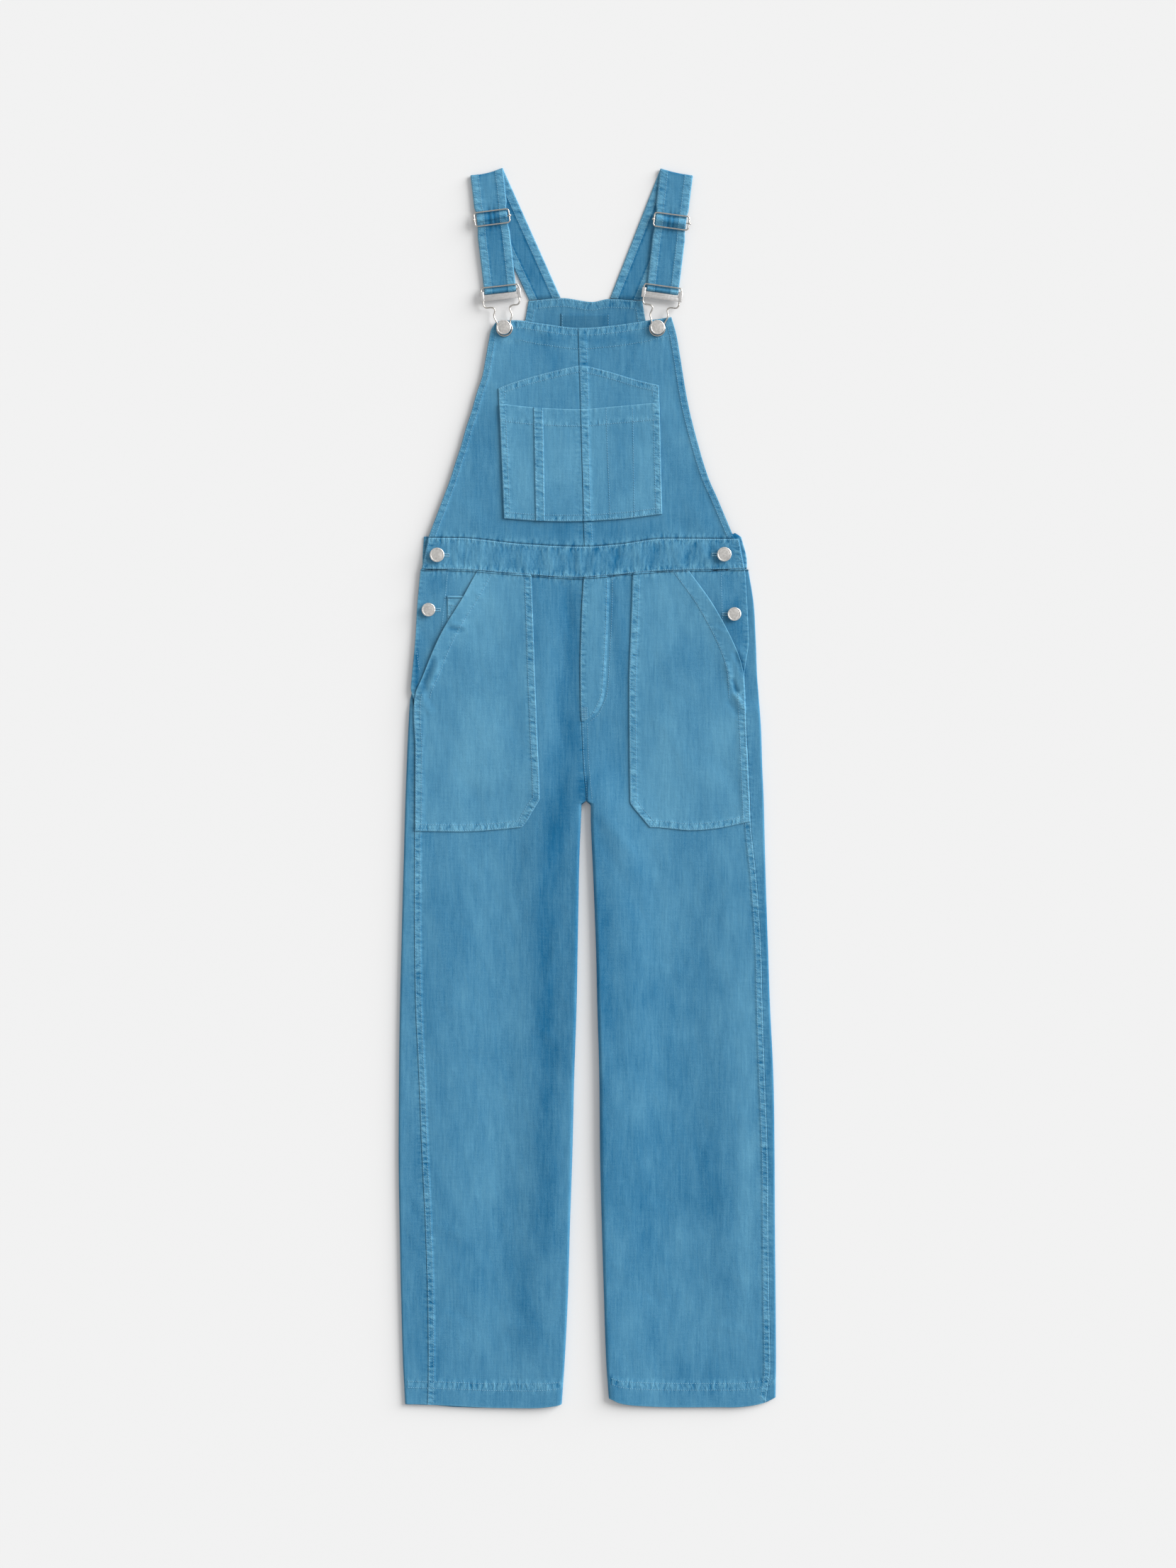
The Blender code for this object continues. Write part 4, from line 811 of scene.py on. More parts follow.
class OverallsSewing(bpy.types.PropertyGroup):
    """Sizes of the thread and the stitches."""

    pitch: size("Stitch Pitch", "Distance from one stitch to the next", 0.0028, 0.001)
    length: size("Stitch Length", "Length of the thread that shows in one stitch", 0.0019, 0.0005)
    width: size("Thread Width", "Thickness of the sewing thread", 0.00062, 0.0001)


class OverallsDye(bpy.types.PropertyGroup):
    """Colours of the cloth and the thread."""

    deep: colour("Deep Dye", "Colour of the cloth where the dye lies deepest", (0.010, 0.122, 0.262))
    pale: colour("Pale Dye", "Colour of the cloth where it is most worn", (0.132, 0.352, 0.510))
    thread: colour("Thread", "Colour of the sewing thread", (0.215, 0.445, 0.600))


class OverallsMetal(bpy.types.PropertyGroup):
    """Colours of the fittings."""

    wire: colour("Wire", "Colour of the sliders' and buckles' wire", (0.58, 0.55, 0.51))
    plate: colour("Plate", "Colour of the buckles' plates", (0.70, 0.69, 0.68))
    button: colour("Button", "Colour of the shank buttons", (0.78, 0.76, 0.73))


class OverallsStudio(bpy.types.PropertyGroup):
    """Floor, light and camera."""

    floor: colour("Floor", "Colour of the floor", (0.80, 0.80, 0.80))
    key: strength("Key Light", "Strength of the wide soft light from the upper right", 4.7)
    key_rise: FloatProperty(
        name="Key Light Rise",
        description="Angle of the soft light above the floor",
        default=math.radians(22.0),
        subtype="ANGLE",
    )
    fill: strength("Fill Light", "Strength of the light from all round", 0.55)
    camera_height: size("Camera Height", "Height of the camera over the floor", 4.0, 1.0)


# Sewing ----------------------------------------------------------------------


def walk(points, pitch):
    """Evenly spaced places along a line of points, each with its direction."""
    points = np.asarray(points, float)
    along = np.concatenate([[0.0], np.cumsum(np.linalg.norm(np.diff(points, axis=0), axis=1))])
    count = max(1, int(along[-1] / pitch))
    at = (np.arange(count) + 0.5) * (along[-1] / count)
    spots, ahead, behind = (
        np.stack([np.interp(at + shift, along, column) for column in points.T], 1) for shift in (0.0, 0.5, -0.5)
    )
    return spots, ahead - behind


def sew(name, rows, slot):
    """One mesh of stitches; each row is (points in x, height and z, pitch share, length share)."""
    sewing = bpy.context.scene.overalls_sewing
    build = bmesh.new()
    bmesh.ops.create_icosphere(build, subdivisions=1, radius=0.5)
    bmesh.ops.scale(build, vec=(sewing.length, sewing.width, sewing.width * 0.8), verts=build.verts)
    stitch = to_mesh(build, "stitch")
    build = bmesh.new()
    slant = np.random.default_rng(7)
    for points, pitch, length in rows:
        spots, ways = walk(points, sewing.pitch / MM * pitch)
        for spot, way in zip(spots, ways):
            before = len(build.verts)
            build.from_mesh(stitch)
            build.verts.ensure_lookup_table()
            turn = Matrix.Rotation(math.atan2(way[1], way[0]) + slant.normal(0.0, 0.05), 4, "Z")
            tip = Matrix.Rotation(-math.atan2(way[2], math.hypot(way[0], way[1])), 4, "Y")
            move = Matrix.Translation(place(*spot)) @ turn @ tip @ Matrix.Diagonal((length, 1.0, 1.0, 1.0))
            bmesh.ops.transform(build, matrix=move, verts=build.verts[before:])
    mesh = to_mesh(build, name)
    bpy.data.meshes.remove(stitch)
    mesh.shade_smooth()
    add_object(name, mesh, [], "sewing_thread", slot)


def stitched(level, x, height, rise=0.0, pitch=1.0, length=1.0):
    """A stitch row at a rise over the level of the cloth."""
    x, height = np.broadcast_arrays(np.asarray(x, float), np.asarray(height, float))
    return np.stack([x, height, level(x, height) + rise + THREAD_RISE], -1), pitch, length


# Pieces of cloth ---------------------------------------------------------------


def centre_seam(row):
    return (read(LEGS["left"], row, "inner") + read(LEGS["right"], row, "inner")) / 2


def fold_columns(leg, row, way, upper, count=6):
    """Section of the inner edge: round below the crotch, flat at the centre seam above it."""
    edge = read(leg, row, "inner")[:, None]
    full = lay(edge + way * 2.0, row[:, None])
    radius = full / 2 - SEAM
    k = np.arange(count + 1)[None, :]
    angle = np.radians(90.0 / count * k)
    round_x = edge + way * radius * (1 - np.cos(angle))
    round_z = (full - radius + radius * np.sin(angle)) if upper else (radius - radius * np.sin(angle))
    flat_x = centre_seam(row)[:, None] + way * (SEAM + k * 0.57)
    flat_z = lay(flat_x, row[:, None]) if upper else np.zeros_like(flat_x)
    below = (row <= CROTCH)[:, None]
    return np.where(below, round_x, flat_x), np.where(below, round_z, flat_z)


def front_panel(side):
    leg, way, name = LEGS[side], WAYS[side], f"front_panel_{side}"
    rows = rows_between(0.0, WAIST_LOW, [0, 0.25, 0.7, 1.4, 2.6], 2.9, [1.0, 0.0])
    fold_x, fold_z = fold_columns(leg, rows, way, True)
    end = read(leg, rows, "seam") - way * SEAM
    if way < 0:
        end = between(end, read(leg, rows, "outer"), smooth_step((rows - PLACKET_FOOT + 14) / 22))
    near_end = [0, 0.2, 0.5, 1.0, 1.8, 3.2, 4.8, 6.4, 7.6, 8.4, 9.4]
    flat_x = across(fold_x[:, -1] + way * 2.0, end, [0.0], 58, near_end)
    row = rows[:, None]
    end = end[:, None]
    fell = FELL_RISE * within(np.abs(flat_x - read(leg, row, "seam")), FELL_WIDTH + 1.0)
    fell = fell * within(row, PLACKET_FOOT + 4, 10)
    top = lay(flat_x, row) + np.maximum(fell, HEM_RISE * within(row, HEM_FOLD))
    top = top - rolled(np.abs(flat_x - end), 0.55) - rolled(row + 0 * flat_x, 0.6)
    x, z = np.hstack([fold_x, flat_x]), np.hstack([fold_z, top])
    inward, low = np.abs(x - end), row + 0 * x
    seams = [
        (inward - 3.6, 4.6, 0.0, 1.0 * (low < PLACKET_FOOT)),
        (inward - 1.0, 5.0, 0.0, 0.45 * (low >= PLACKET_FOOT)),
        (low - 25.0, 6.5, 1.0, 0.8),
        (np.abs(x + 6.0), 4.0, 0.0, 0.35 * (low > CROTCH)),
        (low - WAIST_LOW, 7.0, 1.0, 0.8),
    ]
    piece = add_cloth(name, (x, leg_height(x, row), z), PANEL_WALL, 0.0, seams, least(inward, low))


def back_panel(side):
    leg, way = LEGS[side], WAYS[side]
    rows = rows_between(0.0, WAIST_LOW, [0, 0.6, 1.6], 4.4, [1.0, 0.0])
    row = rows[:, None]
    fold_x, fold_z = fold_columns(leg, rows, way, False, 4)
    edge, seam = read(leg, row, "outer"), read(leg, row, "seam")
    drop = smooth_step((row - BACK_PLACKET_FOOT + 20) / 16)
    if way < 0:
        edge = edge + 2.0 * smooth_step((row - BACK_PLACKET_FOOT + 6) / 14)
    under_flap = seam - 6.0 if way > 0 else edge + 3.2
    seam = between(seam + way * SEAM, under_flap, drop)
    top = between(lay(edge - way * 3.0, row), 2.8, drop)
    radius = top / 2
    hub = edge - way * radius
    under_x = between(fold_x[:, -1:], hub, np.array([0.05, 0.09, 0.15, 0.22, 0.31, 0.42, 0.55, 0.7, 0.85, 1.0]))
    angle = np.radians(np.arange(1, 13) * 15.0 - 90.0)
    round_x, round_z = hub + way * radius * np.cos(angle), radius + radius * np.sin(angle)
    strip_x = between(hub, seam, np.array([0.12, 0.25, 0.38, 0.5, 0.62, 0.74, 0.85, 0.93, 0.975, 1.0]))
    strip_z = between(lay(strip_x, row), top, drop)
    x = np.hstack([fold_x, under_x, round_x, strip_x])
    z = np.hstack([fold_z, np.zeros_like(under_x), round_z, strip_z])
    seams = [(row - 25.0 + 0 * x, 6.5, 1.0, 0.7), (np.abs(x - seam), 5.0, 0.0, 0.35)]
    height = leg_height(x, row)
    if way < 0:
        height = height - BACK_HEM_DROP * smooth_step((HEM_FOLD - row) / HEM_FOLD) * close_to(x + 147.0, 24.0)
    piece = add_cloth(f"back_panel_{side}", (x, height, z), PANEL_WALL, -0.01, seams, up=False)


def band_grid(ends, low, high, columns, ups, extra=0.0):
    """Places over a waistband between its two curved edges; ups are shares of its height."""
    near = [0, 0.4, 1.0, 2.0, 3.5]
    nominal = between(low, high, ups)
    x = across(read(ends, nominal, "left"), read(ends, nominal, "right"), near, columns, near)
    return x, between(read(BAND_LOW, x), read(BAND_HIGH, x) + extra, ups[:, None])


def band_level(x, height):
    return lay(x, height) + BAND_RISE + folded(x, height, BAND_CREASES)


def front_band():
    tall = WAIST_HIGH - WAIST_LOW
    ups = shares_between([0, 0.3, 0.7, 1.4, 2.4, 3.6], tall, 13)
    x, height = band_grid(BAND_ENDS, WAIST_LOW, WAIST_HIGH, 130, ups)
    up = ups[:, None] * tall + 0 * x
    inward = least(up, tall - up, side_in(x))
    ripple = 0.25 * close_to(inward - 3.0, 3.0) * np.sin(x * 0.9 + 1.7 * np.sin(x * 0.11))
    z = band_level(x, height) + 0.15 * close_to(inward - 2.0, 2.2) + ripple - rolled(inward, 1.0)
    seams = [
        (up - 3.0, 6.0, 1.0, 0.9),
        (tall - up - 3.0, 6.0, 1.0, 0.9),
        (0 * x, 1.0, 1.0, 0.32),
        (np.abs(x - x[:, :1]) - 4.0, 6.0, 0.0, 0.7),
        (np.abs(x - x[:, -1:]) - 4.0, 6.0, 0.0, 0.9),
    ]
    piece = add_cloth("waistband_front", (x, height, z), BAND_WALL, -0.02, seams, inward)


def back_band():
    """The back waistband, with the end that curls up behind the right button."""
    ups = np.linspace(0, 1, 15)
    x, height = band_grid(BACK_BAND_ENDS, WAIST_LOW, WAIST_HIGH + 2, 90, ups, 1.5)
    curl = close_to(x - 170.5, 5.5) * smooth_step((ups[:, None] - 0.6) / 0.4)
    inward = side_in(x)
    z = BACK_BAND_CLOTH - rolled(inward, 0.8) + 0.8 * curl
    grids = (x, height + 5.5 * curl, z)
    piece = add_cloth("waistband_back", grids, BACK_BAND_WALL, 0.0, [(inward, 5.0, 0.0, 0.8)], inward)


def bib_half(side):
    way, tall = WAYS[side], BIB_TOP - WAIST_HIGH
    near = np.array([0, 0.25, 0.6, 1.2, 2.2, 3.6]) / tall
    ups = np.concatenate([np.linspace(0, 1 - near[-1], 108)[:-1], 1 - near[::-1]])
    nominal = between(WAIST_HIGH, BIB_TOP, ups)
    edge = read(BIB_SIDES, nominal, side)
    seam = read(BIB_SEAM, nominal) + way * SEAM
    near_edge = [0, 0.2, 0.5, 1.0, 2.0, 3.4, 5.0, 6.6, 7.8, 8.6, 9.6]
    x = across(edge, seam, near_edge, 34, [0, 0.2, 0.5, 1.0, 3.0, 6.0, 9.0, 10.0, 10.8])
    up = ups[:, None]
    height = between(read(BAND_HIGH, x) + GAP, read(BIB_UPPER, x), up)
    outer, inner = np.abs(x - edge[:, None]), np.abs(x - seam[:, None])
    top_in = (1 - up) * tall + 0 * x
    rise = np.maximum(HEM_RISE * within(outer, BIB_HEM_WIDTH + 0.6, 1.0), 0.35 * within(top_in, 25.0, 1.5))
    if way > 0:
        rise = rise + FELL_RISE * within(inner, 10.2, 1.0)
    z = lay(x, height) + rise - rolled(outer, 0.6) - rolled(top_in, 0.7) - 0.8 * rolled(inner, 0.5)
    seams = [
        (outer - 4.0, 4.6, 0.0, 0.55),
        (top_in - 5.0, 6.0, 1.0, 0.85),
        (top_in - 24.0, 3.0, 1.0, 0.4),
        (inner - 5.0, 5.0, 0.0, 0.7 if way > 0 else 0.25),
        (up * tall + 0 * x, 6.0, 1.0, 0.7),
    ]
    piece = add_cloth(f"bib_{side}", (x, height, z), PANEL_WALL, 0.0, seams, least(outer, top_in))


def back_bib():
    tall = BACK_BIB_TOP - WAIST_HIGH
    near = np.array([0, 0.25, 0.6, 1.2, 2.2]) / tall
    ups = np.concatenate([np.linspace(0, 0.8, 40), np.linspace(0.8, 1 - near[-1], 24)[1:-1], 1 - near[::-1]])
    nominal = between(WAIST_HIGH + 2, BACK_BIB_TOP, ups)
    near = [0, 0.3, 0.8, 1.8, 3.5, 5.5, 7.5, 8.8, 10]
    x = across(read(BACK_BIB_SIDES, nominal, "left"), read(BACK_BIB_SIDES, nominal, "right"), near, 60, near)
    height = between(read(BAND_HIGH, x) + 1.5 + GAP, read(BACK_BIB_UPPER, x), ups[:, None])
    outer, top_in = side_in(x), (1 - ups[:, None]) * tall + 0 * x
    edge = least(outer, top_in)
    z = BACK_BIB_CLOTH + 0.4 * np.maximum(within(outer, 10.0), within(top_in, 11.0)) - rolled(edge, 0.7)
    seams = [(outer - 4.0, 5.0, 0.0, 0.7), (top_in - 5.0, 6.0, 1.0, 0.8)]
    grids = (x, height, z)
    piece = add_cloth("back_bib", grids, BACK_BIB_WALL, -0.02, seams, edge, material="inside_twill")


def label_patch():
    low, high = LABEL
    near = [0, 0.4, 1.2, 2.4]
    x = across(np.full(9, low.left), np.full(9, low.right), near, 16, near)
    height = np.linspace(low.height, high.height, 9)[:, None] + 0 * x
    z = BACK_BIB_CLOTH + LABEL_RISE - rolled(least(side_in(x), high.height - height), 0.3)
    piece = add_cloth("label_patch", (x, height, z), 0.4, -0.12, material="label_twill")


def outer_first(side, pair):
    """What is on the left and on the right, as what is outer and inner on one side of the garment."""
    return pair if side == "left" else pair[::-1]


def pocket_grid(ends, upper, columns, ups):
    """Places over a bib pocket's layer between its foot and its upper edge."""
    x = columns(*(between(getattr(ends[0], side), getattr(ends[1], side), ups) for side in WAYS))
    low, high, up = read(POCKET_FOOT, x), read(upper, x), ups[:, None]
    return x, between(low, high, up), up * (high - low), (1 - up) * (high - low)


NEAR_POCKET_EDGE = [0, 0.25, 0.6, 1.2, 2.2, 3.6, 5.5, 7.5]
NEAR_POCKET_ENDS = [0, 0.25, 0.6, 1.2, 2.2, 4.0, 7.0]


def bib_pocket_under():
    ups = shares_between(NEAR_POCKET_ENDS, 160, 58)

    def with_seam(left, right):
        seam = between(read(BIB_SEAM, 1026.0), read(BIB_SEAM, 1204.0), ups)
        first = across(left, seam - 0.1, NEAR_POCKET_EDGE, 24, [0, 0.3, 0.8, 1.8])
        last = across(seam + 0.1, right, [0, 0.3, 0.8, 1.8, 4.0, 7.0, 9.0, 10.0], 24, NEAR_POCKET_EDGE)
        return np.hstack([first, last])

    x, height, foot_in, top_in = pocket_grid(POCKET_SIDES, POCKET_PEAK, with_seam, ups)
    inward = side_in(x)
    edge = least(inward, top_in, foot_in)
    past = x - between(-4.5, -9.3, ups)[:, None]
    fell = FELL_RISE * (past > 0) * within(past, 10.2, 1.0) - 0.5 * close_to(past + 0.4, 0.6)
    z = plain_lay(x, height) + UNDER_STEP + 0.3 * within(edge, 8.0) + fell - rolled(edge, 0.6)
    seams = [(inward - 4.0, 4.5, 0.0, 0.9), (top_in - 4.0, 4.5, 1.0, 0.8), (np.abs(past - 5.0), 5.0, 0.0, 0.9)]
    piece = add_cloth("bib_pocket_under", (x, height, z), POCKET_CLOTH, 0.06, seams, edge)


def bib_pocket_over(side):
    way = WAYS[side]
    ups = shares_between(NEAR_POCKET_ENDS, POCKET_TALL, 50)
    near_seam = [0, 0.25, 0.6, 1.2, 2.6, 5.0, 7.6, 8.8, 9.6]
    ends = (
        Span(share, *sorted((getattr(OVER_SIDES[share], side), float(read(BIB_SEAM, at)) + way * SEAM)))
        for share, at in ((0, 1025.0), (1, 1155.0))
    )
    near_left, near_right = outer_first(side, (NEAR_POCKET_EDGE, near_seam))
    columns = lambda left, right: across(left, right, near_left, 22, near_right)
    x, height, foot_in, top_in = pocket_grid(tuple(ends), POCKET_MOUTH, columns, ups)
    outer, inner = outer_first(side, (np.abs(x - x[:, :1]), np.abs(x - x[:, -1:])))
    rise = 0.3 * within(outer, 8.0) + 0.3 * within(top_in, POCKET_HEM)
    if way > 0:
        rise = rise + FELL_RISE * within(inner, 9.4, 1.0)
    edge = least(outer, top_in, foot_in)
    z = plain_lay(x, height) + OVER_STEP + rise - rolled(edge, 0.6) - 0.8 * rolled(inner, 0.5)
    seams = [
        (outer - 4.0, 4.5, 0.0, 1.0),
        (top_in - POCKET_HEM + 2.0, 4.0, 1.0, 0.6),
        (top_in - 2.0, 4.0, 1.0, 0.3),
        (inner - 4.5, 4.5, 0.0, 1.0 if way > 0 else 0.3),
        (foot_in - 3.0, 4.0, 1.0, 0.8),
    ]
    piece = add_cloth(f"bib_pocket_over_{side}", (x, height, z), POCKET_CLOTH, 0.15, seams, edge)


def pencil_lap():
    near = [0, 0.25, 0.6, 1.4, 3.0]
    ups = shares_between(NEAR_POCKET_ENDS, POCKET_TALL, 50)
    narrow = lambda left, right: across(left, right, near, 4, near)
    x, height, foot_in, top_in = pocket_grid(PENCIL_LAP, POCKET_MOUTH, narrow, ups)
    inward = side_in(x)
    z = plain_lay(x, height) + LAP_STEP - rolled(least(inward, top_in, foot_in), 0.5)
    piece = add_cloth("pencil_pocket_lap", (x, height, z), 0.8, 0.09, [(inward - 2.0, 4.0, 0.0, 0.9)], inward)


def foot_sag(x, row, hip):
    """Small rise and fall of a hip pocket's foot, which fades out above it."""
    return read(HIP_FEET, x) * smooth_step((hip[0].height + 90 - row) / 90)


def mouth_gape(x, height, side):
    """How far a hip pocket's slanted mouth stands off the panel beneath."""
    away = np.abs(x - read(HIPS[side], height, side)) * math.cos(math.radians(32)) / GAPE_REACH
    ends = smooth_step((height - HIP_MOUTH_LOW) / 40) * smooth_step((968 - height) / 36)
    return np.where(height < HIP_MOUTH_LOW, 0.0, GAPE * ends * (1 - np.clip(away, 0.0, 1.0)) ** 2)


def hip_level(side):
    def level(x, height):
        over_fell = FELL_RISE * within(np.abs(x - read(LEGS[side], height, "seam")), 14.0, 6.0)
        level = plain_lay(x, height) + folded(x, height, POCKET_CREASES)
        return level + UNDER_STEP + over_fell + mouth_gape(x, height, side)
    return level


def hip_pocket(side):
    hip = HIPS[side]
    rows = rows_between(hip[0].height, WAIST_LOW, [0, 0.25, 0.6, 1.2, 2.2, 3.6, 5.5], 2.0, [1.0, 0.0])
    near_mouth = [0, 0.3, 0.8, 1.6, *np.arange(2.8, 16.0, 1.4), 16.6, 17.6, 19.0, 20.5, 22.2, 24.0]
    near_inner = [0, 0.25, 0.6, 1.2, 2.4, 4.0, 6.0, 7.6, 8.8, 10.0]
    near_left, near_right = outer_first(side, (near_mouth, near_inner))
    left, right = read(hip, rows, "left"), read(hip, rows, "right")
    x = across(left, right, near_left, 30, near_right)
    mouth_in, inner_in = outer_first(side, (x - left[:, None], right[:, None] - x))
    row = rows[:, None] + 0 * x
    height = leg_height(x, row) + foot_sag(x, row, hip)
    foot_in = row - rows[0]
    above = smooth_step((row - HIP_MOUTH_LOW) / 6.0)
    hem = within(mouth_in, HIP_HEM, 1.5) * above
    rise = 0.3 * np.maximum(np.maximum(within(inner_in, 8.6), within(foot_in, 8.6)), hem)
    edge = least(inner_in, foot_in, mouth_in)
    z = hip_level(side)(x, height) + rise - rolled(edge, 0.6)
    seams = [
        (inner_in - 4.5, 5.0, 0.0, 0.95),
        (foot_in - 4.5, 5.0, 1.0, 0.9),
        (mouth_in - 4.0, 5.0, 0.0, 0.9 * (1 - above)),
        (mouth_in - 17.0, 4.0, 0.0, 0.4 * above),
        (mouth_in - 1.0, 4.0, 0.0, 0.3 * above),
        (row - WAIST_LOW, 6.0, 1.0, 0.8),
    ]
    piece = add_cloth(f"hip_pocket_{side}", (x, height, z), POCKET_CLOTH, 0.15, seams, edge)


def coin_pocket():
    top = COIN[-1].height
    rows = rows_between(COIN[0].height, top, [0.0, 1.0], 2.0, [2.0, 1.0, 0.5, 0.0])
    row = rows[:, None]
    left, right = read(COIN, row, "left"), read(COIN, row, "right")
    x = left + (right - left) * np.array([0, 0.02, 0.06, 0.14, 0.3, 0.45, 0.6, 0.8, 1.0])
    row = row + 0 * x
    edge = least(x - left, top - row)
    z = plain_lay(x, row) + COIN_STEP - rolled(edge, 0.5) + 0.25 * within(top - row, 11.0, 1.0)
    seams = [(x - left - 2.0, 3.0, 0.0, 0.8), (top - row - 9.0, 4.0, 1.0, 0.6)]
    piece = add_cloth("coin_pocket", (x, row, z), 0.8, 0.24, seams, edge)


def fly_level(x, height):
    return plain_lay(x, height) + UNDER_STEP


def fly():
    rows = rows_between(FLY[0].height, WAIST_LOW, [0.0, 0.6, 1.6, 3.0, 5.0], 2.4, [1.0, 0.0])
    left, right = read(FLY, rows, "left"), read(FLY, rows, "right")
    x = across(left, np.maximum(right, left + 2.0), [0, 0.1, 0.25, 0.5], 14, [0, 0.1, 0.25, 0.5])
    row = rows[:, None] + 0 * x
    height = leg_height(x, row)
    left_in, right_in = x - left[:, None], right[:, None] - x
    z = fly_level(x, height) - rolled(left_in, 0.5) - 0.9 * close_to(np.maximum(right_in, 0), 2.0)
    seams = [
        (left_in - 3.0, 3.5, 0.0, 0.7),
        (right_in - 3.0, 3.5, 0.0, 0.6),
        (row - 800.0, 5.0, 1.0, 0.4),
        (row - WAIST_LOW, 7.0, 1.0, 0.8),
    ]
    piece = add_cloth("fly", (x, height, z), POCKET_CLOTH, 0.10, seams, left_in)


# Straps and fittings --------------------------------------------------------------


def in_frame(tilted, across_by, up, z):
    turn = math.radians(tilted.tilt)
    x = tilted.x + across_by * math.cos(turn) - up * math.sin(turn)
    height = tilted.height + across_by * math.sin(turn) + up * math.cos(turn)
    return place(x, height, z)


def flat_in_frame(tilted, across_by, up):
    point = in_frame(tilted, across_by, up, 0.0) / MM
    return np.array([point.x, point.y + LENGTH / 2])


def strap_route(foot, fold, slider, buckle):
    """Stations of a strap, each with its two cut edges, its height and its facing direction."""
    foot_a, foot_b, fold_a, fold_b = (np.array(end) for strip in (foot, fold) for end in (strip[:2], strip[2:]))
    turn_a, turn_b = (flat_in_frame(buckle, s * STRAP_HALF, BUCKLE_BAR_UP) for s in (-1, 1))
    stations = []

    def add(start, end, z, angle=0.0, way=(0.0, 1.0)):
        turned = math.radians(angle)
        facing = np.array([-way[0] * math.sin(turned), -way[1] * math.sin(turned), math.cos(turned)])
        stations.append((np.array([*start, z]), np.array([*end, z]), facing))

    def bend(start, end, hub, radius, angles):
        along = (end - start) / np.linalg.norm(end - start)
        up_page = np.array([-along[1], along[0]])
        for angle in angles:
            out = up_page * radius * math.sin(math.radians(angle))
            add(start + out, end + out, hub - radius * math.cos(math.radians(angle)), angle, up_page)

    def narrowed(share, width):
        start, end = between(fold_a, turn_a, share), between(fold_b, turn_b, share)
        middle = (start + end) / 2
        return between(middle, start, width), between(middle, end, width)

    for share in np.linspace(0, 0.97, 26):
        add(between(foot_a, fold_a, share), between(foot_b, fold_b, share), BACK_RUN_Z)
    radius = (FRONT_RUN_Z - BACK_RUN_Z) / 2
    bend(fold_a, fold_b, BACK_RUN_Z + radius, radius, range(0, 181, 15))

    middle_fold = (fold_a + fold_b) / 2
    way_down = (turn_a + turn_b) / 2 - middle_fold
    length = np.linalg.norm(way_down)
    over = np.dot(np.array([slider.x, slider.height]) - middle_fold, way_down) / length**2
    step = 1 / length
    wires = SLIDER_HALF_HEIGHT * step
    clear = GAP + STRAP_CLOTH / 2
    hump = SLIDER_BAR_Z + SLIDER_BAR + clear + 0.25
    dip_top = SLIDER_Z_TOP - WIRE - clear - 0.3
    dip_low = SLIDER_Z_LOW - WIRE - clear - 0.3
    low_z = BUCKLE_Z - WIRE - clear - 0.25
    narrow = STRAP_AT_SLIDER
    marks = np.array([
        (0.0, FRONT_RUN_Z, 1.0),
        (0.12, FRONT_RUN_Z, 1.0),
        (over - wires * 1.9, dip_top, 1.0),
        (over - wires * 1.3, dip_top, narrow),
        (over - wires * 0.75, dip_top, narrow),
        (over - wires * 0.35, hump - 0.9, narrow),
        (over, hump, narrow),
        (over + wires * 0.3, hump - 0.5, narrow),
        (over + wires * 0.75, dip_low + 0.1, narrow),
        (over + wires * 1.3, dip_low, narrow),
        (over + wires * 2.4, dip_low - 0.3, 1.0),
        (between(over, 1.0, 0.5), between(dip_low, low_z, 0.5), 1.0),
        (between(over, 1.0, 0.75), between(dip_low, low_z, 0.85), 1.0),
        (1.0 - 8.0 * step, low_z, 1.0),
        (1.0 - 4.2 * step, low_z, 1.0),
        (1.0, low_z, 1.0),
    ])
    shares = np.unique(np.concatenate([np.arange(3.0, length - 3.0, 2.0) * step, marks[2:-2, 0]]))
    for share in shares:
        z, width = (np.interp(share, marks[:, 0], marks[:, k]) for k in (1, 2))
        add(*narrowed(share, width), z, 180.0)
    front = (len(stations) - len(shares), len(stations))

    bend(turn_a, turn_b, BUCKLE_BAR_Z, BUCKLE_BAR + clear + 0.25, range(180, 361, 18))
    return_top = SLIDER_BAR_Z - SLIDER_BAR - clear - 0.35
    for up in np.linspace(0.06, 1.0, 22):
        z = np.interp(up, (0.0, 0.35, 0.75, 1.0), (RETURN_Z, RETURN_Z + 0.15, RETURN_Z + 0.9, return_top))
        width = between(1.0, narrow, float(smooth_step((up - 0.4) / 0.2)))
        add(*narrowed(between(1.0, over + wires * 0.2, up), width), z)
    return stations, front


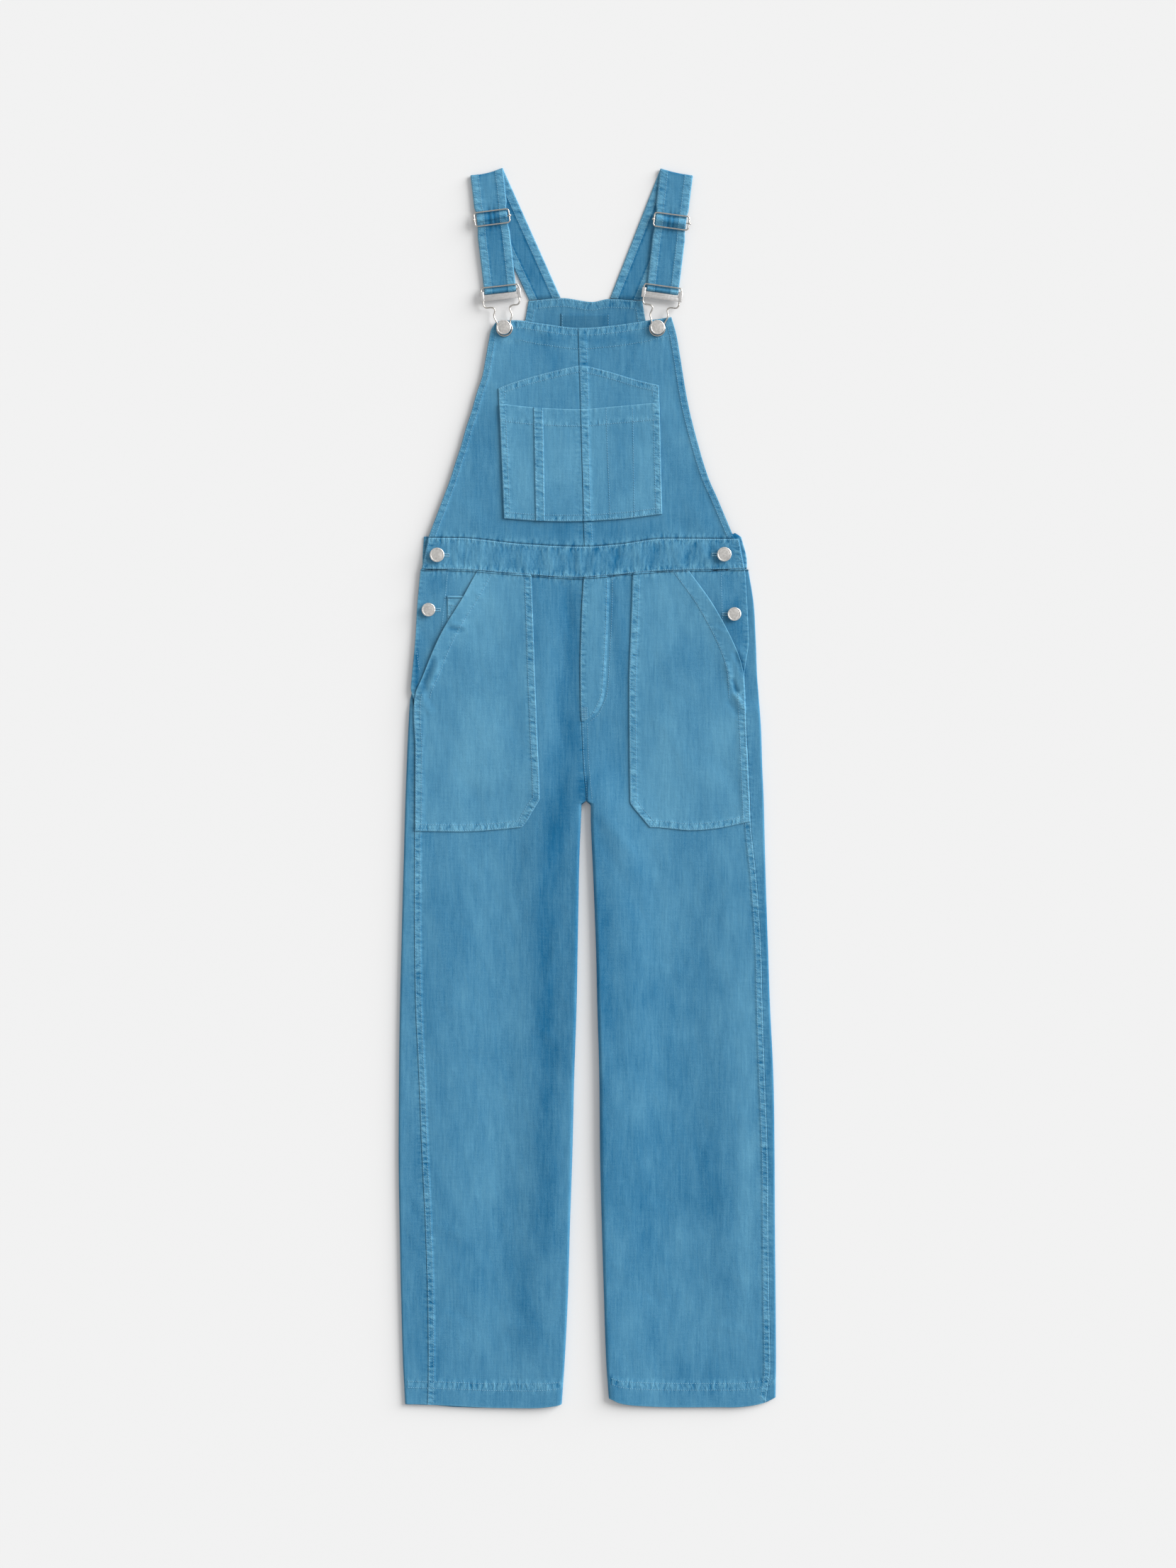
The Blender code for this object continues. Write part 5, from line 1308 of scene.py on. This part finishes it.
def strap(side):
    """Makes a strap and returns its stitch rows."""
    name, (foot, fold, slider, buckle) = f"strap_{side}", STRAPS[side]
    stations, front = strap_route(foot, fold, slider, buckle)
    starts, ends, facing = (np.array([s[k] for s in stations]) for k in range(3))
    run = slice(*front)
    for _ in range(2):
        z = starts[run, 2]
        z[1:-1] = (z[:-2] + 2 * z[1:-1] + z[2:]) / 4
        ends[run, 2] = z
    section = STRAP_SECTION + tuple(Section(s.share, -s.half) for s in STRAP_SECTION[-2:0:-1])
    shares, halves = np.array(section).T
    middle = starts[:, None, :] * (1 - shares[None, :, None]) + ends[:, None, :] * shares[None, :, None]
    spots = middle + facing[:, None, :] * (halves * STRAP_CLOTH / 2)[None, :, None]
    from_fold = (starts + ends)[:, :2] / 2 - [(fold.x0 + fold.x1) / 2, (fold.height0 + fold.height1) / 2]
    sag = FOLD_SAG[side] * close_to(np.hypot(*from_fold.T), 14.0)
    spots[:, :, 1] -= sag[:, None] * 4 * (shares * (1 - shares))[None, :]
    off = np.hypot(spots[:, :, 0] - slider.x, spots[:, :, 1] - slider.height)
    on_front = np.zeros((len(stations), 1), bool)
    on_front[run] = True
    near = (np.abs(spots[:, :, 1] - slider.height) < 16) & on_front
    dents = close_to(shares - 0.42, 0.045) + 0.9 * close_to(shares - 0.58, 0.04)
    dents = np.where(near, dents * close_to(off - 5.0, 9.0), 0.0)
    spots[:, :, 2] -= dents
    dents, spots = (np.concatenate([grid, grid[:, :1]], 1) for grid in (dents, spots))
    x, height, z = np.moveaxis(spots, 2, 0)
    mesh, grid = sheet_mesh(f"{name}_cloth", x, height, z)
    share = np.append(shares, shares[0]) + 0 * x
    inward = np.minimum(share, 1 - share) * STRAP_WIDTH
    over_bar = smooth_step((height - slider.height - 4) / 10) * on_front
    fade = np.where((share > 0.26) & (share < 0.74), -0.12 + 0.20 * over_bar, 0.15)
    # Painted shadow along the inner edge of each hem, stronger on the back run, and painted shade in the dents the
    # slider presses in
    painted_groove_shadow = close_to((np.abs(share - 0.5) - 0.23) * STRAP_WIDTH, 0.8) * np.where(on_front, 0.16, 0.30)
    fade = fade + WORN * close_to(inward - 0.3, 0.9) - painted_groove_shadow - 0.34 * dents
    mark(mesh, grid, fade=fade, pucker=close_to(inward - 4.5, 6.0) * 0.8, turn=0 * share)
    build = bmesh.new()
    build.from_mesh(mesh)
    bmesh.ops.remove_doubles(build, verts=build.verts, dist=1e-6)
    bmesh.ops.holes_fill(build, edges=[e for e in build.edges if e.is_boundary], sides=0)
    bmesh.ops.recalc_face_normals(build, faces=build.faces)
    build.to_mesh(mesh)
    build.free()
    mesh.shade_smooth()
    piece = add_object(f"{name}_cloth", mesh, [name], "washed_twill")

    lift = STRAP_CLOTH / 2 * 1.08 + 0.08
    rows = []
    for face, part in ((-1, slice(26, front[1] + 5)), (1, slice(0, 30))):
        for share in (0.045, 0.235, 0.765, 0.955):
            line = between(starts[part], ends[part], share) + facing[part] * (lift * face)
            line[:, 1] -= sag[part] * 4 * share * (1 - share)
            rows.append((line, 1.0, 1.0))
    return rows


def curve_wire(name, points, radius, cyclic=True):
    """A bent round wire along points, as a mesh."""
    curve = bpy.data.curves.new(name, "CURVE")
    curve.dimensions = "3D"
    curve.bevel_depth = radius * MM
    curve.bevel_resolution = 4
    curve.use_fill_caps = True
    spline = curve.splines.new("POLY")
    spline.points.add(len(points) - 1)
    for target, point in zip(spline.points, points):
        target.co = (*point, 1.0)
    spline.use_cyclic_u = cyclic
    guide = bpy.data.objects.new(name, curve)
    bpy.context.collection.objects.link(guide)
    bpy.context.view_layer.update()
    graph = bpy.context.evaluated_depsgraph_get()
    mesh = bpy.data.meshes.new_from_object(guide.evaluated_get(graph))
    bpy.data.objects.remove(guide)
    bpy.data.curves.remove(curve)
    return mesh


def plate_block(tilted, left, right, low, high, under, over, bevel):
    """A rounded bar of sheet metal in a buckle's own frame."""
    build = bmesh.new()
    bmesh.ops.create_cube(build, size=1.0)
    bmesh.ops.scale(build, vec=(right - left, high - low, over - under), verts=build.verts)
    bmesh.ops.bevel(build, geom=build.edges, offset=bevel, segments=3, affect="EDGES", profile=0.5, material=-1)
    middle = Vector((left + right, low + high, under + over)) / 2
    for vertex in build.verts:
        vertex.co = in_frame(tilted, *(vertex.co + middle))
    return to_mesh(build, "plate")


def join_meshes(name, meshes, slots):
    """One mesh of several closed shells; slots gives each shell's material number."""
    build = bmesh.new()
    for mesh, slot in zip(meshes, slots):
        before = len(build.faces)
        build.from_mesh(mesh)
        build.faces.ensure_lookup_table()
        for face in build.faces[before:]:
            face.material_index = slot
        bpy.data.meshes.remove(mesh)
    bmesh.ops.remove_doubles(build, verts=build.verts, dist=1e-7)
    bmesh.ops.recalc_face_normals(build, faces=build.faces)
    joined = to_mesh(build, name)
    joined.shade_smooth()
    joined.set_sharp_from_angle(angle=math.radians(50))
    return joined


def smooth_path(points, steps):
    """Points on a closed smooth curve through the given points."""
    path = []
    count = len(points)
    for i in range(count):
        before, start = points[i - 1], points[i]
        end, after = points[(i + 1) % count], points[(i + 2) % count]
        for k in range(steps):
            t = k / steps
            a, b = (end - before) / 2, (after - start) / 2
            path.append(start + a * t + (3 * (end - start) - 2 * a - b) * t * t + (a + b - 2 * (end - start)) * t**3)
    return path


def slider(side, tilted):
    wide, tall, corner = SLIDER_HALF_WIDTH, SLIDER_HALF_HEIGHT, SLIDER_CORNER
    points = []
    for quarter, (sx, sy) in enumerate(((1, 1), (-1, 1), (-1, -1), (1, -1))):
        for k in range(9):
            angle = math.radians(quarter * 90 + 90 / 8 * k)
            across_by = sx * (wide - corner) + corner * math.cos(angle)
            up = sy * (tall - corner) + corner * math.sin(angle)
            z = between(SLIDER_Z_LOW, SLIDER_Z_TOP, (up / tall + 1) / 2)
            points.append(in_frame(tilted, across_by, up, z))
    meshes = [curve_wire("loop", points, WIRE * 0.95)]
    ends = [in_frame(tilted, s * (wide + 0.3), 0.0, SLIDER_BAR_Z) for s in (-1, 1)]
    meshes.append(curve_wire("bar", ends, SLIDER_BAR, cyclic=False))
    joint = [in_frame(tilted, 4.5 + d, -tall, SLIDER_Z_LOW) for d in (-0.5, 0.5)]
    meshes.append(curve_wire("joint", joint, WIRE * 1.12, cyclic=False))
    for s in (-1, 1):
        build = bmesh.new()
        bmesh.ops.create_uvsphere(build, u_segments=16, v_segments=10, radius=SLIDER_KNOB * MM)
        middle = in_frame(tilted, s * (wide + 0.9), 0.0, (SLIDER_BAR_Z + SLIDER_Z_LOW) / 2)
        bmesh.ops.translate(build, vec=middle, verts=build.verts)
        meshes.append(to_mesh(build, "knob"))
    name = f"slider_{side}"
    add_object(name + "_metal", join_meshes(name, meshes, [0] * len(meshes)), [name], "nickel_wire")


def buckle(side, tilted):
    ring = []
    for k in range(1, 12):
        angle = math.radians(55 - 290 * k / 12)
        ring.append(Vector((KEYHOLE_RADIUS * math.cos(angle), KEYHOLE_RADIUS * math.sin(angle) - KEYHOLE_DOWN)))
    right = [Vector(point) for point in (*WIRE_SHOULDER, *HOOK)]
    left = [Vector((-p.x, p.y)) for p in reversed(right)]
    route = [Vector((0.0, WIRE_SHOULDER[0][1]))] + right + ring + left
    path = [in_frame(tilted, p.x, p.y, BUCKLE_Z) for p in smooth_path(route, 5)]
    inner = PLATE_HALF - EAR_WIDTH
    over, under = BUCKLE_Z + 1.25, BUCKLE_Z - 1.25
    meshes = [
        curve_wire("hook", path, WIRE * 0.95),
        plate_block(tilted, -PLATE_HALF, -inner, 0.0, EAR_TOP, under, over, 0.5),
        plate_block(tilted, inner, PLATE_HALF, 0.0, EAR_TOP, under, over, 0.5),
        plate_block(tilted, -inner - 0.45, inner + 0.45, 0.15, RIDGE_TOP, under + 0.5, over - 0.1, 0.5),
        plate_block(tilted, -inner - 0.2, inner + 0.2, 2.0, PLATE_TOP, under + 0.9, over - 0.75, 0.2),
    ]
    ends = [in_frame(tilted, s * (inner + 1.5), BUCKLE_BAR_UP, BUCKLE_BAR_Z) for s in (-1, 1)]
    meshes.append(curve_wire("bar", ends, BUCKLE_BAR, cyclic=False))
    for s in (-1, 1):
        low, high = sorted((s * (inner + 0.35), s * (PLATE_HALF - 0.8)))
        foot, top = BUCKLE_BAR_UP - 1.6, EAR_TOP - 0.8
        meshes.append(plate_block(tilted, low, high, foot, top, BUCKLE_BAR_Z - 1.2, BUCKLE_Z, 0.3))
    name = f"buckle_{side}"
    mesh = join_meshes(name, meshes, [0, 1, 1, 1, 1, 0, 1, 1])
    piece = add_object(name + "_metal", mesh, [name], "nickel_wire")
    piece.data.materials.append(get_material("nickel_plate"))


def shank_button(button):
    base = float(plain_lay(button.x, button.height)) + button.lift + GAP
    radius = button.radius
    profile = (
        (0.0, 0.0),
        (3.2, 0.0),
        (3.0, 0.5),
        (2.6, 1.2),
        (2.6, 2.3),
        (radius - 1.2, 2.45),
        (radius - 0.5, 2.65),
        (radius - 0.1, 3.0),
        (radius, 3.5),
        (radius - 0.2, 4.0),
        (radius - 0.6, 4.35),
        (radius - 1.1, 4.45),
        (radius - 1.5, 4.35),
        (radius - 1.75, 4.2),
        (radius - 2.1, 4.25),
        (radius * 0.55, 4.42),
        (radius * 0.25, 4.5),
        (0.0, 4.52),
    )
    build = bmesh.new()
    points = [build.verts.new((r, 0.0, z)) for r, z in profile]
    edges = [build.edges.new(pair) for pair in zip(points, points[1:])]
    bmesh.ops.spin(
        build, geom=points + edges, cent=(0, 0, 0), axis=(0, 0, 1), angle=math.tau, steps=56, use_merge=True
    )
    bmesh.ops.remove_doubles(build, verts=build.verts, dist=1e-4)
    bmesh.ops.recalc_face_normals(build, faces=build.faces)
    bmesh.ops.scale(build, vec=(MM, MM, MM), verts=build.verts)
    bmesh.ops.translate(build, vec=place(button.x, button.height, base), verts=build.verts)
    mesh = to_mesh(build, button.name)
    mesh.shade_smooth()
    add_object(button.name + "_metal", mesh, [button.name], "nickel_button")


# Stitch rows ------------------------------------------------------------------------


def heights(low, high, step=4.0):
    return np.linspace(low, high, max(2, int((high - low) / step) + 1))


def leg_stitches():
    for side, way in WAYS.items():
        leg = LEGS[side]
        run = heights(2.0, PLACKET_FOOT - 4)
        for inward in (1.5, 6.6):
            x = read(leg, run, "seam") - way * inward
            yield stitched(lay, x, leg_height(x, run), FELL_RISE)
        for row in (20.3, 28.2):
            x = np.linspace(read(leg, row, "inner") + way * 4, read(leg, row, "outer") - way * 4, 90)
            yield stitched(lay, x, leg_height(x, row), HEM_RISE, 0.95)
    run = heights(704.0, 792.0)
    for inward in (1.6, 7.0):
        yield stitched(lay, centre_seam(run) + inward, run)


def band_stitches():
    tall = WAIST_HIGH - WAIST_LOW
    inset = 1.6

    def along(x, ups):
        return stitched(band_level, x, between(read(BAND_LOW, x), read(BAND_HIGH, x), ups), 0.1, 0.9)

    for up in (inset / tall, 1 - inset / tall):
        row = between(WAIST_LOW, WAIST_HIGH, up)
        yield along(np.linspace(read(BAND_ENDS, row, "left") + inset, read(BAND_ENDS, row, "right") - inset, 120), up)
    ups = np.linspace(0.05, 0.95, 12)
    for side, way in WAYS.items():
        yield along(read(BAND_ENDS, between(WAIST_LOW, WAIST_HIGH, ups), side) - way * inset, ups)


def bib_stitches():
    run = heights(WAIST_HIGH + 2, BIB_TOP - 3)
    for side, way in WAYS.items():
        for inward in (1.5, 7.0):
            yield stitched(lay, read(BIB_SIDES, run, side) - way * inward, run, HEM_RISE)
    x = np.linspace(-104, 95, 90)
    for drop in (1.6, 8.6):
        yield stitched(lay, x, read(BIB_UPPER, x) - drop, 0.4, 0.95)
    x = np.linspace(-78, 100, 80)
    drop = 24.0 - 3.0 * smooth_step((np.abs(x) - 60) / 40)
    yield stitched(lay, x, read(BIB_UPPER, x) - drop, 0.3)
    for low, high in ((1000.0, 1022.0), (1208.0, 1246.0)):
        run = heights(low, high)
        for inward in (1.8, 9.0):
            yield stitched(lay, read(BIB_SEAM, run) + inward, run, FELL_RISE)


def back_bib_stitches():
    level = lambda x, height: BACK_BIB_CLOTH + 0 * x
    x = np.linspace(-60, 57, 60)
    for drop in (1.6, 9.5):
        yield stitched(level, x, read(BACK_BIB_UPPER, x) - drop, 0.4)
    run = heights(1240.0, 1270.0)
    for side, way in WAYS.items():
        for inward in (1.6, 9.0):
            yield stitched(level, read(BACK_BIB_SIDES, run, side) - way * inward, run, 0.4)
    low, high = LABEL
    run = heights(low.height + 1, high.height - 1)
    for x in (low.left + 1.6, low.right - 1.6):
        yield stitched(level, x, run, LABEL_RISE)


def pocket_stitches():
    def sides(ends, upper, ups, rise, inwards=(1.5, 7.2)):
        for side, way in WAYS.items():
            for inward in inwards:
                x = between(getattr(ends[0], side), getattr(ends[1], side), ups) - way * inward
                yield stitched(plain_lay, x, between(read(POCKET_FOOT, x), read(upper, x), ups), rise)

    under, over = UNDER_STEP + 0.3, OVER_STEP + 0.3
    x = np.linspace(-101, 81, 90)
    for drop in (1.6, 7.6):
        yield stitched(plain_lay, x, read(POCKET_PEAK, x) - drop, under, 0.95)
    yield from sides(POCKET_SIDES, POCKET_PEAK, np.linspace(0.9, 0.99, 40), under)
    yield from sides(OVER_SIDES, POCKET_MOUTH, np.linspace(0.02, 0.985, 40), over)
    x = np.linspace(-94, 84, 80)
    for lift in (1.6, 7.4):
        yield stitched(plain_lay, x, read(POCKET_FOOT, x) + lift, over, 0.95)
    x = np.linspace(-100, 82, 80)
    yield stitched(plain_lay, x, read(POCKET_MOUTH, x) - POCKET_HEM, over, 0.95)
    for low, high, step, inwards in (
        (1027.0, 1151.0, OVER_STEP, (1.6, 8.2)),
        (1157.0, 1200.0, UNDER_STEP, (1.8, 9.0)),
    ):
        run = heights(low, high)
        for inward in inwards:
            yield stitched(plain_lay, read(BIB_SEAM, run) + inward, run, step + FELL_RISE)
    yield from sides(PENCIL_LAP, POCKET_MOUTH, np.linspace(0.02, 0.98, 36), LAP_STEP, (1.5,))
    for low, high in ((21.7, 26.3), (52.5, 54.3)):
        yield stitched(plain_lay, np.linspace(low, high, 40), np.linspace(1156.0, 1028.0, 40), over - 0.05)


def hip_stitches():
    for side, way in WAYS.items():
        hip, level = HIPS[side], hip_level(side)
        foot, inner = hip[0].height, "right" if side == "left" else "left"
        for inward in (1.6, 7.8):
            run = heights(foot + inward, WAIST_LOW - 2)
            x = read(hip, run, inner) + way * inward * np.where(run < 700, 1.3, 1.0)
            yield stitched(level, x, leg_height(x, run) + foot_sag(x, run, hip), 0.3)
            row = foot + inward
            x = np.linspace(read(hip, row, "left") + 3, read(hip, row, "right") - 3, 50)
            yield stitched(level, x, row + foot_sag(x, row, hip), 0.3)
            run = heights(foot + 3, HIP_MOUTH_LOW)
            yield stitched(level, read(hip, run, side) - way * inward, run, 0.3)
        run = heights(HIP_MOUTH_LOW - 6, WAIST_LOW - 2)
        x = read(hip, run, side) - way * 18.2
        yield stitched(level, x, leg_height(x, run), 0.3)
    for x0, height0, x1, height1 in PLACKET_SEAMS:
        yield stitched(plain_lay, np.linspace(x0, x1, 24), np.linspace(height0, height1, 24), 1.1)


def fly_stitches():
    run = heights(800.0, WAIST_LOW - 2)
    yield stitched(fly_level, read(FLY, run, "left") + 1.5, leg_height(0 * run, run))
    for shift, level, inward, rise in ((0.0, fly_level, 3.0, 0.05), (4.5, lay, 1.0, 0.15)):
        points = np.array([(x + shift, h - (shift * 0.3 if h < 820 else 0)) for x, h in FLY_BEND])
        x, height = (np.interp(np.linspace(0, 4, 60), range(5), column) for column in points.T)
        for _ in range(6):
            for line in (x, height):
                line[1:-1] = (line[:-2] + 2 * line[1:-1] + line[2:]) / 4
        yield stitched(level, x - inward, height, rise)
    for x in np.arange(-6.2, 0.0, 1.2):
        yield stitched(fly_level, x, np.linspace(795.5, 810.0, 6), 0.0, 0.7, 0.9)


def buttonhole_stitches():
    """Close whipped stitches round each buttonhole beside its button."""
    for button in BUTTONS:
        if not button.hole:
            continue
        start, end = (button.x + button.hole * (button.radius + past) for past in (-2.0, 5.5))
        rise = 1.25 if button.height > WAIST_LOW else 0.15
        for offset in (-1.3, 1.3):
            for spot in stitched(lay, np.linspace(start, end, 20), button.height + offset, rise)[0]:
                yield np.array([spot - [0, 0.8, 0], spot + [0, 0.8, 0]]), 0.6, 0.8
        yield stitched(lay, end, np.linspace(button.height - 2.2, button.height + 2.2, 4), rise, 0.4)


# Operators ----------------------------------------------------------------------------


class OVERALLS_OT_legs(bpy.types.Operator):
    """Lay the front and back panels of both legs"""

    bl_idname = "overalls.legs"
    bl_label = "Leg Panels"

    def execute(self, context):
        for panel in (front_panel, back_panel):
            for side in WAYS:
                panel(side)
        return {"FINISHED"}


class OVERALLS_OT_bands(bpy.types.Operator):
    """Lay the front and back waistbands"""

    bl_idname = "overalls.bands"
    bl_label = "Waistbands"

    def execute(self, context):
        front_band()
        back_band()
        return {"FINISHED"}


class OVERALLS_OT_bib(bpy.types.Operator):
    """Lay both halves of the bib and the back bib with its bare label"""

    bl_idname = "overalls.bib"
    bl_label = "Bib"

    def execute(self, context):
        for side in WAYS:
            bib_half(side)
        back_bib()
        label_patch()
        return {"FINISHED"}


class OVERALLS_OT_bib_pocket(bpy.types.Operator):
    """Lay the peaked bib pocket with its pencil lap"""

    bl_idname = "overalls.bib_pocket"
    bl_label = "Bib Pocket"

    def execute(self, context):
        bib_pocket_under()
        for side in WAYS:
            bib_pocket_over(side)
        pencil_lap()
        return {"FINISHED"}


class OVERALLS_OT_hips(bpy.types.Operator):
    """Lay the hip pockets, the coin pocket and the fly"""

    bl_idname = "overalls.hips"
    bl_label = "Hip Pockets and Fly"

    def execute(self, context):
        for side in WAYS:
            hip_pocket(side)
        coin_pocket()
        fly()
        return {"FINISHED"}


class OVERALLS_OT_straps(bpy.types.Operator):
    """Thread both straps through their sliders and buckles, with their stitch rows"""

    bl_idname = "overalls.straps"
    bl_label = "Straps"

    def execute(self, context):
        sew("strap_stitches", strap("left") + strap("right"), "strap_left")
        return {"FINISHED"}


class OVERALLS_OT_fittings(bpy.types.Operator):
    """Make the sliders, the buckles and the shank buttons"""

    bl_idname = "overalls.fittings"
    bl_label = "Metal Fittings"

    def execute(self, context):
        for side, strap_at in STRAPS.items():
            slider(side, strap_at.slider)
        for side, strap_at in STRAPS.items():
            buckle(side, strap_at.buckle)
        for button in BUTTONS:
            shank_button(button)
        return {"FINISHED"}


class OVERALLS_OT_stitches(bpy.types.Operator):
    """Sew every seam, hem, pocket and buttonhole"""

    bl_idname = "overalls.stitches"
    bl_label = "Stitches"

    def execute(self, context):
        sew("leg_stitches", leg_stitches(), "front_panel_left")
        sew("band_stitches", band_stitches(), "waistband_front")
        sew("bib_stitches", chain(bib_stitches(), back_bib_stitches()), "bib_left")
        sew("pocket_stitches", pocket_stitches(), "bib_pocket_under")
        sew("hip_stitches", chain(hip_stitches(), fly_stitches()), "hip_pocket_left")
        sew("buttonhole_stitches", buttonhole_stitches(), "waistband_front")
        return {"FINISHED"}


class OVERALLS_OT_stage(bpy.types.Operator):
    """Set up the floor, the lights and the camera"""

    bl_idname = "overalls.stage"
    bl_label = "Studio"

    def execute(self, context):
        studio = context.scene.overalls_studio
        build = bmesh.new()
        bmesh.ops.create_grid(build, x_segments=1, y_segments=1, size=FLOOR_HALF)
        bmesh.ops.translate(build, vec=(0, 0, FLOOR_Z), verts=build.verts)
        mesh = to_mesh(build, "floor")
        mesh.materials.append(get_material("studio_floor"))

        world = bpy.data.worlds.new("studio")
        world.use_nodes = True
        background = world.node_tree.nodes["Background"]
        background.inputs["Color"].default_value = (1.0, 1.0, 1.0, 1.0)
        background.inputs["Strength"].default_value = studio.fill
        context.scene.world = world

        light = bpy.data.lights.new("key", "SUN")
        light.energy = studio.key
        light.angle = KEY_SPREAD
        lens = bpy.data.cameras.new("camera")
        lens.sensor_width = 36.0
        lens.lens = lens.sensor_width * studio.camera_height / VIEW_WIDTH
        lens.clip_end = 50.0
        floor, key, camera = (bpy.data.objects.new(data.name, data) for data in (mesh, light, lens))
        for made in (floor, key, camera):
            context.collection.objects.link(made)
        flat = math.cos(studio.key_rise)
        way = Vector((flat * math.cos(KEY_SIDE), flat * math.sin(KEY_SIDE), math.sin(studio.key_rise)))
        key.location = way * 4.0
        key.rotation_euler = (-way).to_track_quat("-Z", "Y").to_euler()
        camera.location = (*CAMERA_OVER, studio.camera_height)
        context.scene.camera = camera
        context.scene.view_settings.view_transform = "Standard"
        return {"FINISHED"}


STEPS = (
    OVERALLS_OT_legs, OVERALLS_OT_bands, OVERALLS_OT_bib, OVERALLS_OT_bib_pocket, OVERALLS_OT_hips,
    OVERALLS_OT_fittings, OVERALLS_OT_straps, OVERALLS_OT_stitches, OVERALLS_OT_stage,
)


class OVERALLS_PT_panel(bpy.types.Panel):
    """Lists the overalls' steps and settings"""

    bl_label = "Overalls"
    bl_idname = "OVERALLS_PT_panel"
    bl_space_type = "VIEW_3D"
    bl_region_type = "UI"
    bl_category = "Overalls"

    def draw(self, context):
        for step in STEPS:
            self.layout.operator(step.bl_idname)
        for group in SETTINGS:
            settings = getattr(context.scene, group)
            for name in settings.__annotations__:
                self.layout.prop(settings, name)


SETTINGS = {
    "overalls_sewing": OverallsSewing,
    "overalls_dye": OverallsDye,
    "overalls_metal": OverallsMetal,
    "overalls_studio": OverallsStudio,
}
CLASSES = (*SETTINGS.values(), *STEPS, OVERALLS_PT_panel)


def register():
    for kind in CLASSES:
        bpy.utils.register_class(kind)
    for group, kind in SETTINGS.items():
        setattr(bpy.types.Scene, group, PointerProperty(type=kind))


def unregister():
    for group in SETTINGS:
        delattr(bpy.types.Scene, group)
    for kind in reversed(CLASSES):
        bpy.utils.unregister_class(kind)


def main():
    register()
    run = bpy.ops.overalls
    for step in (
        run.legs, run.bands, run.bib, run.bib_pocket, run.hips, run.fittings, run.straps, run.stitches, run.stage,
    ):
        step()


if __name__ == "__main__":
    main()
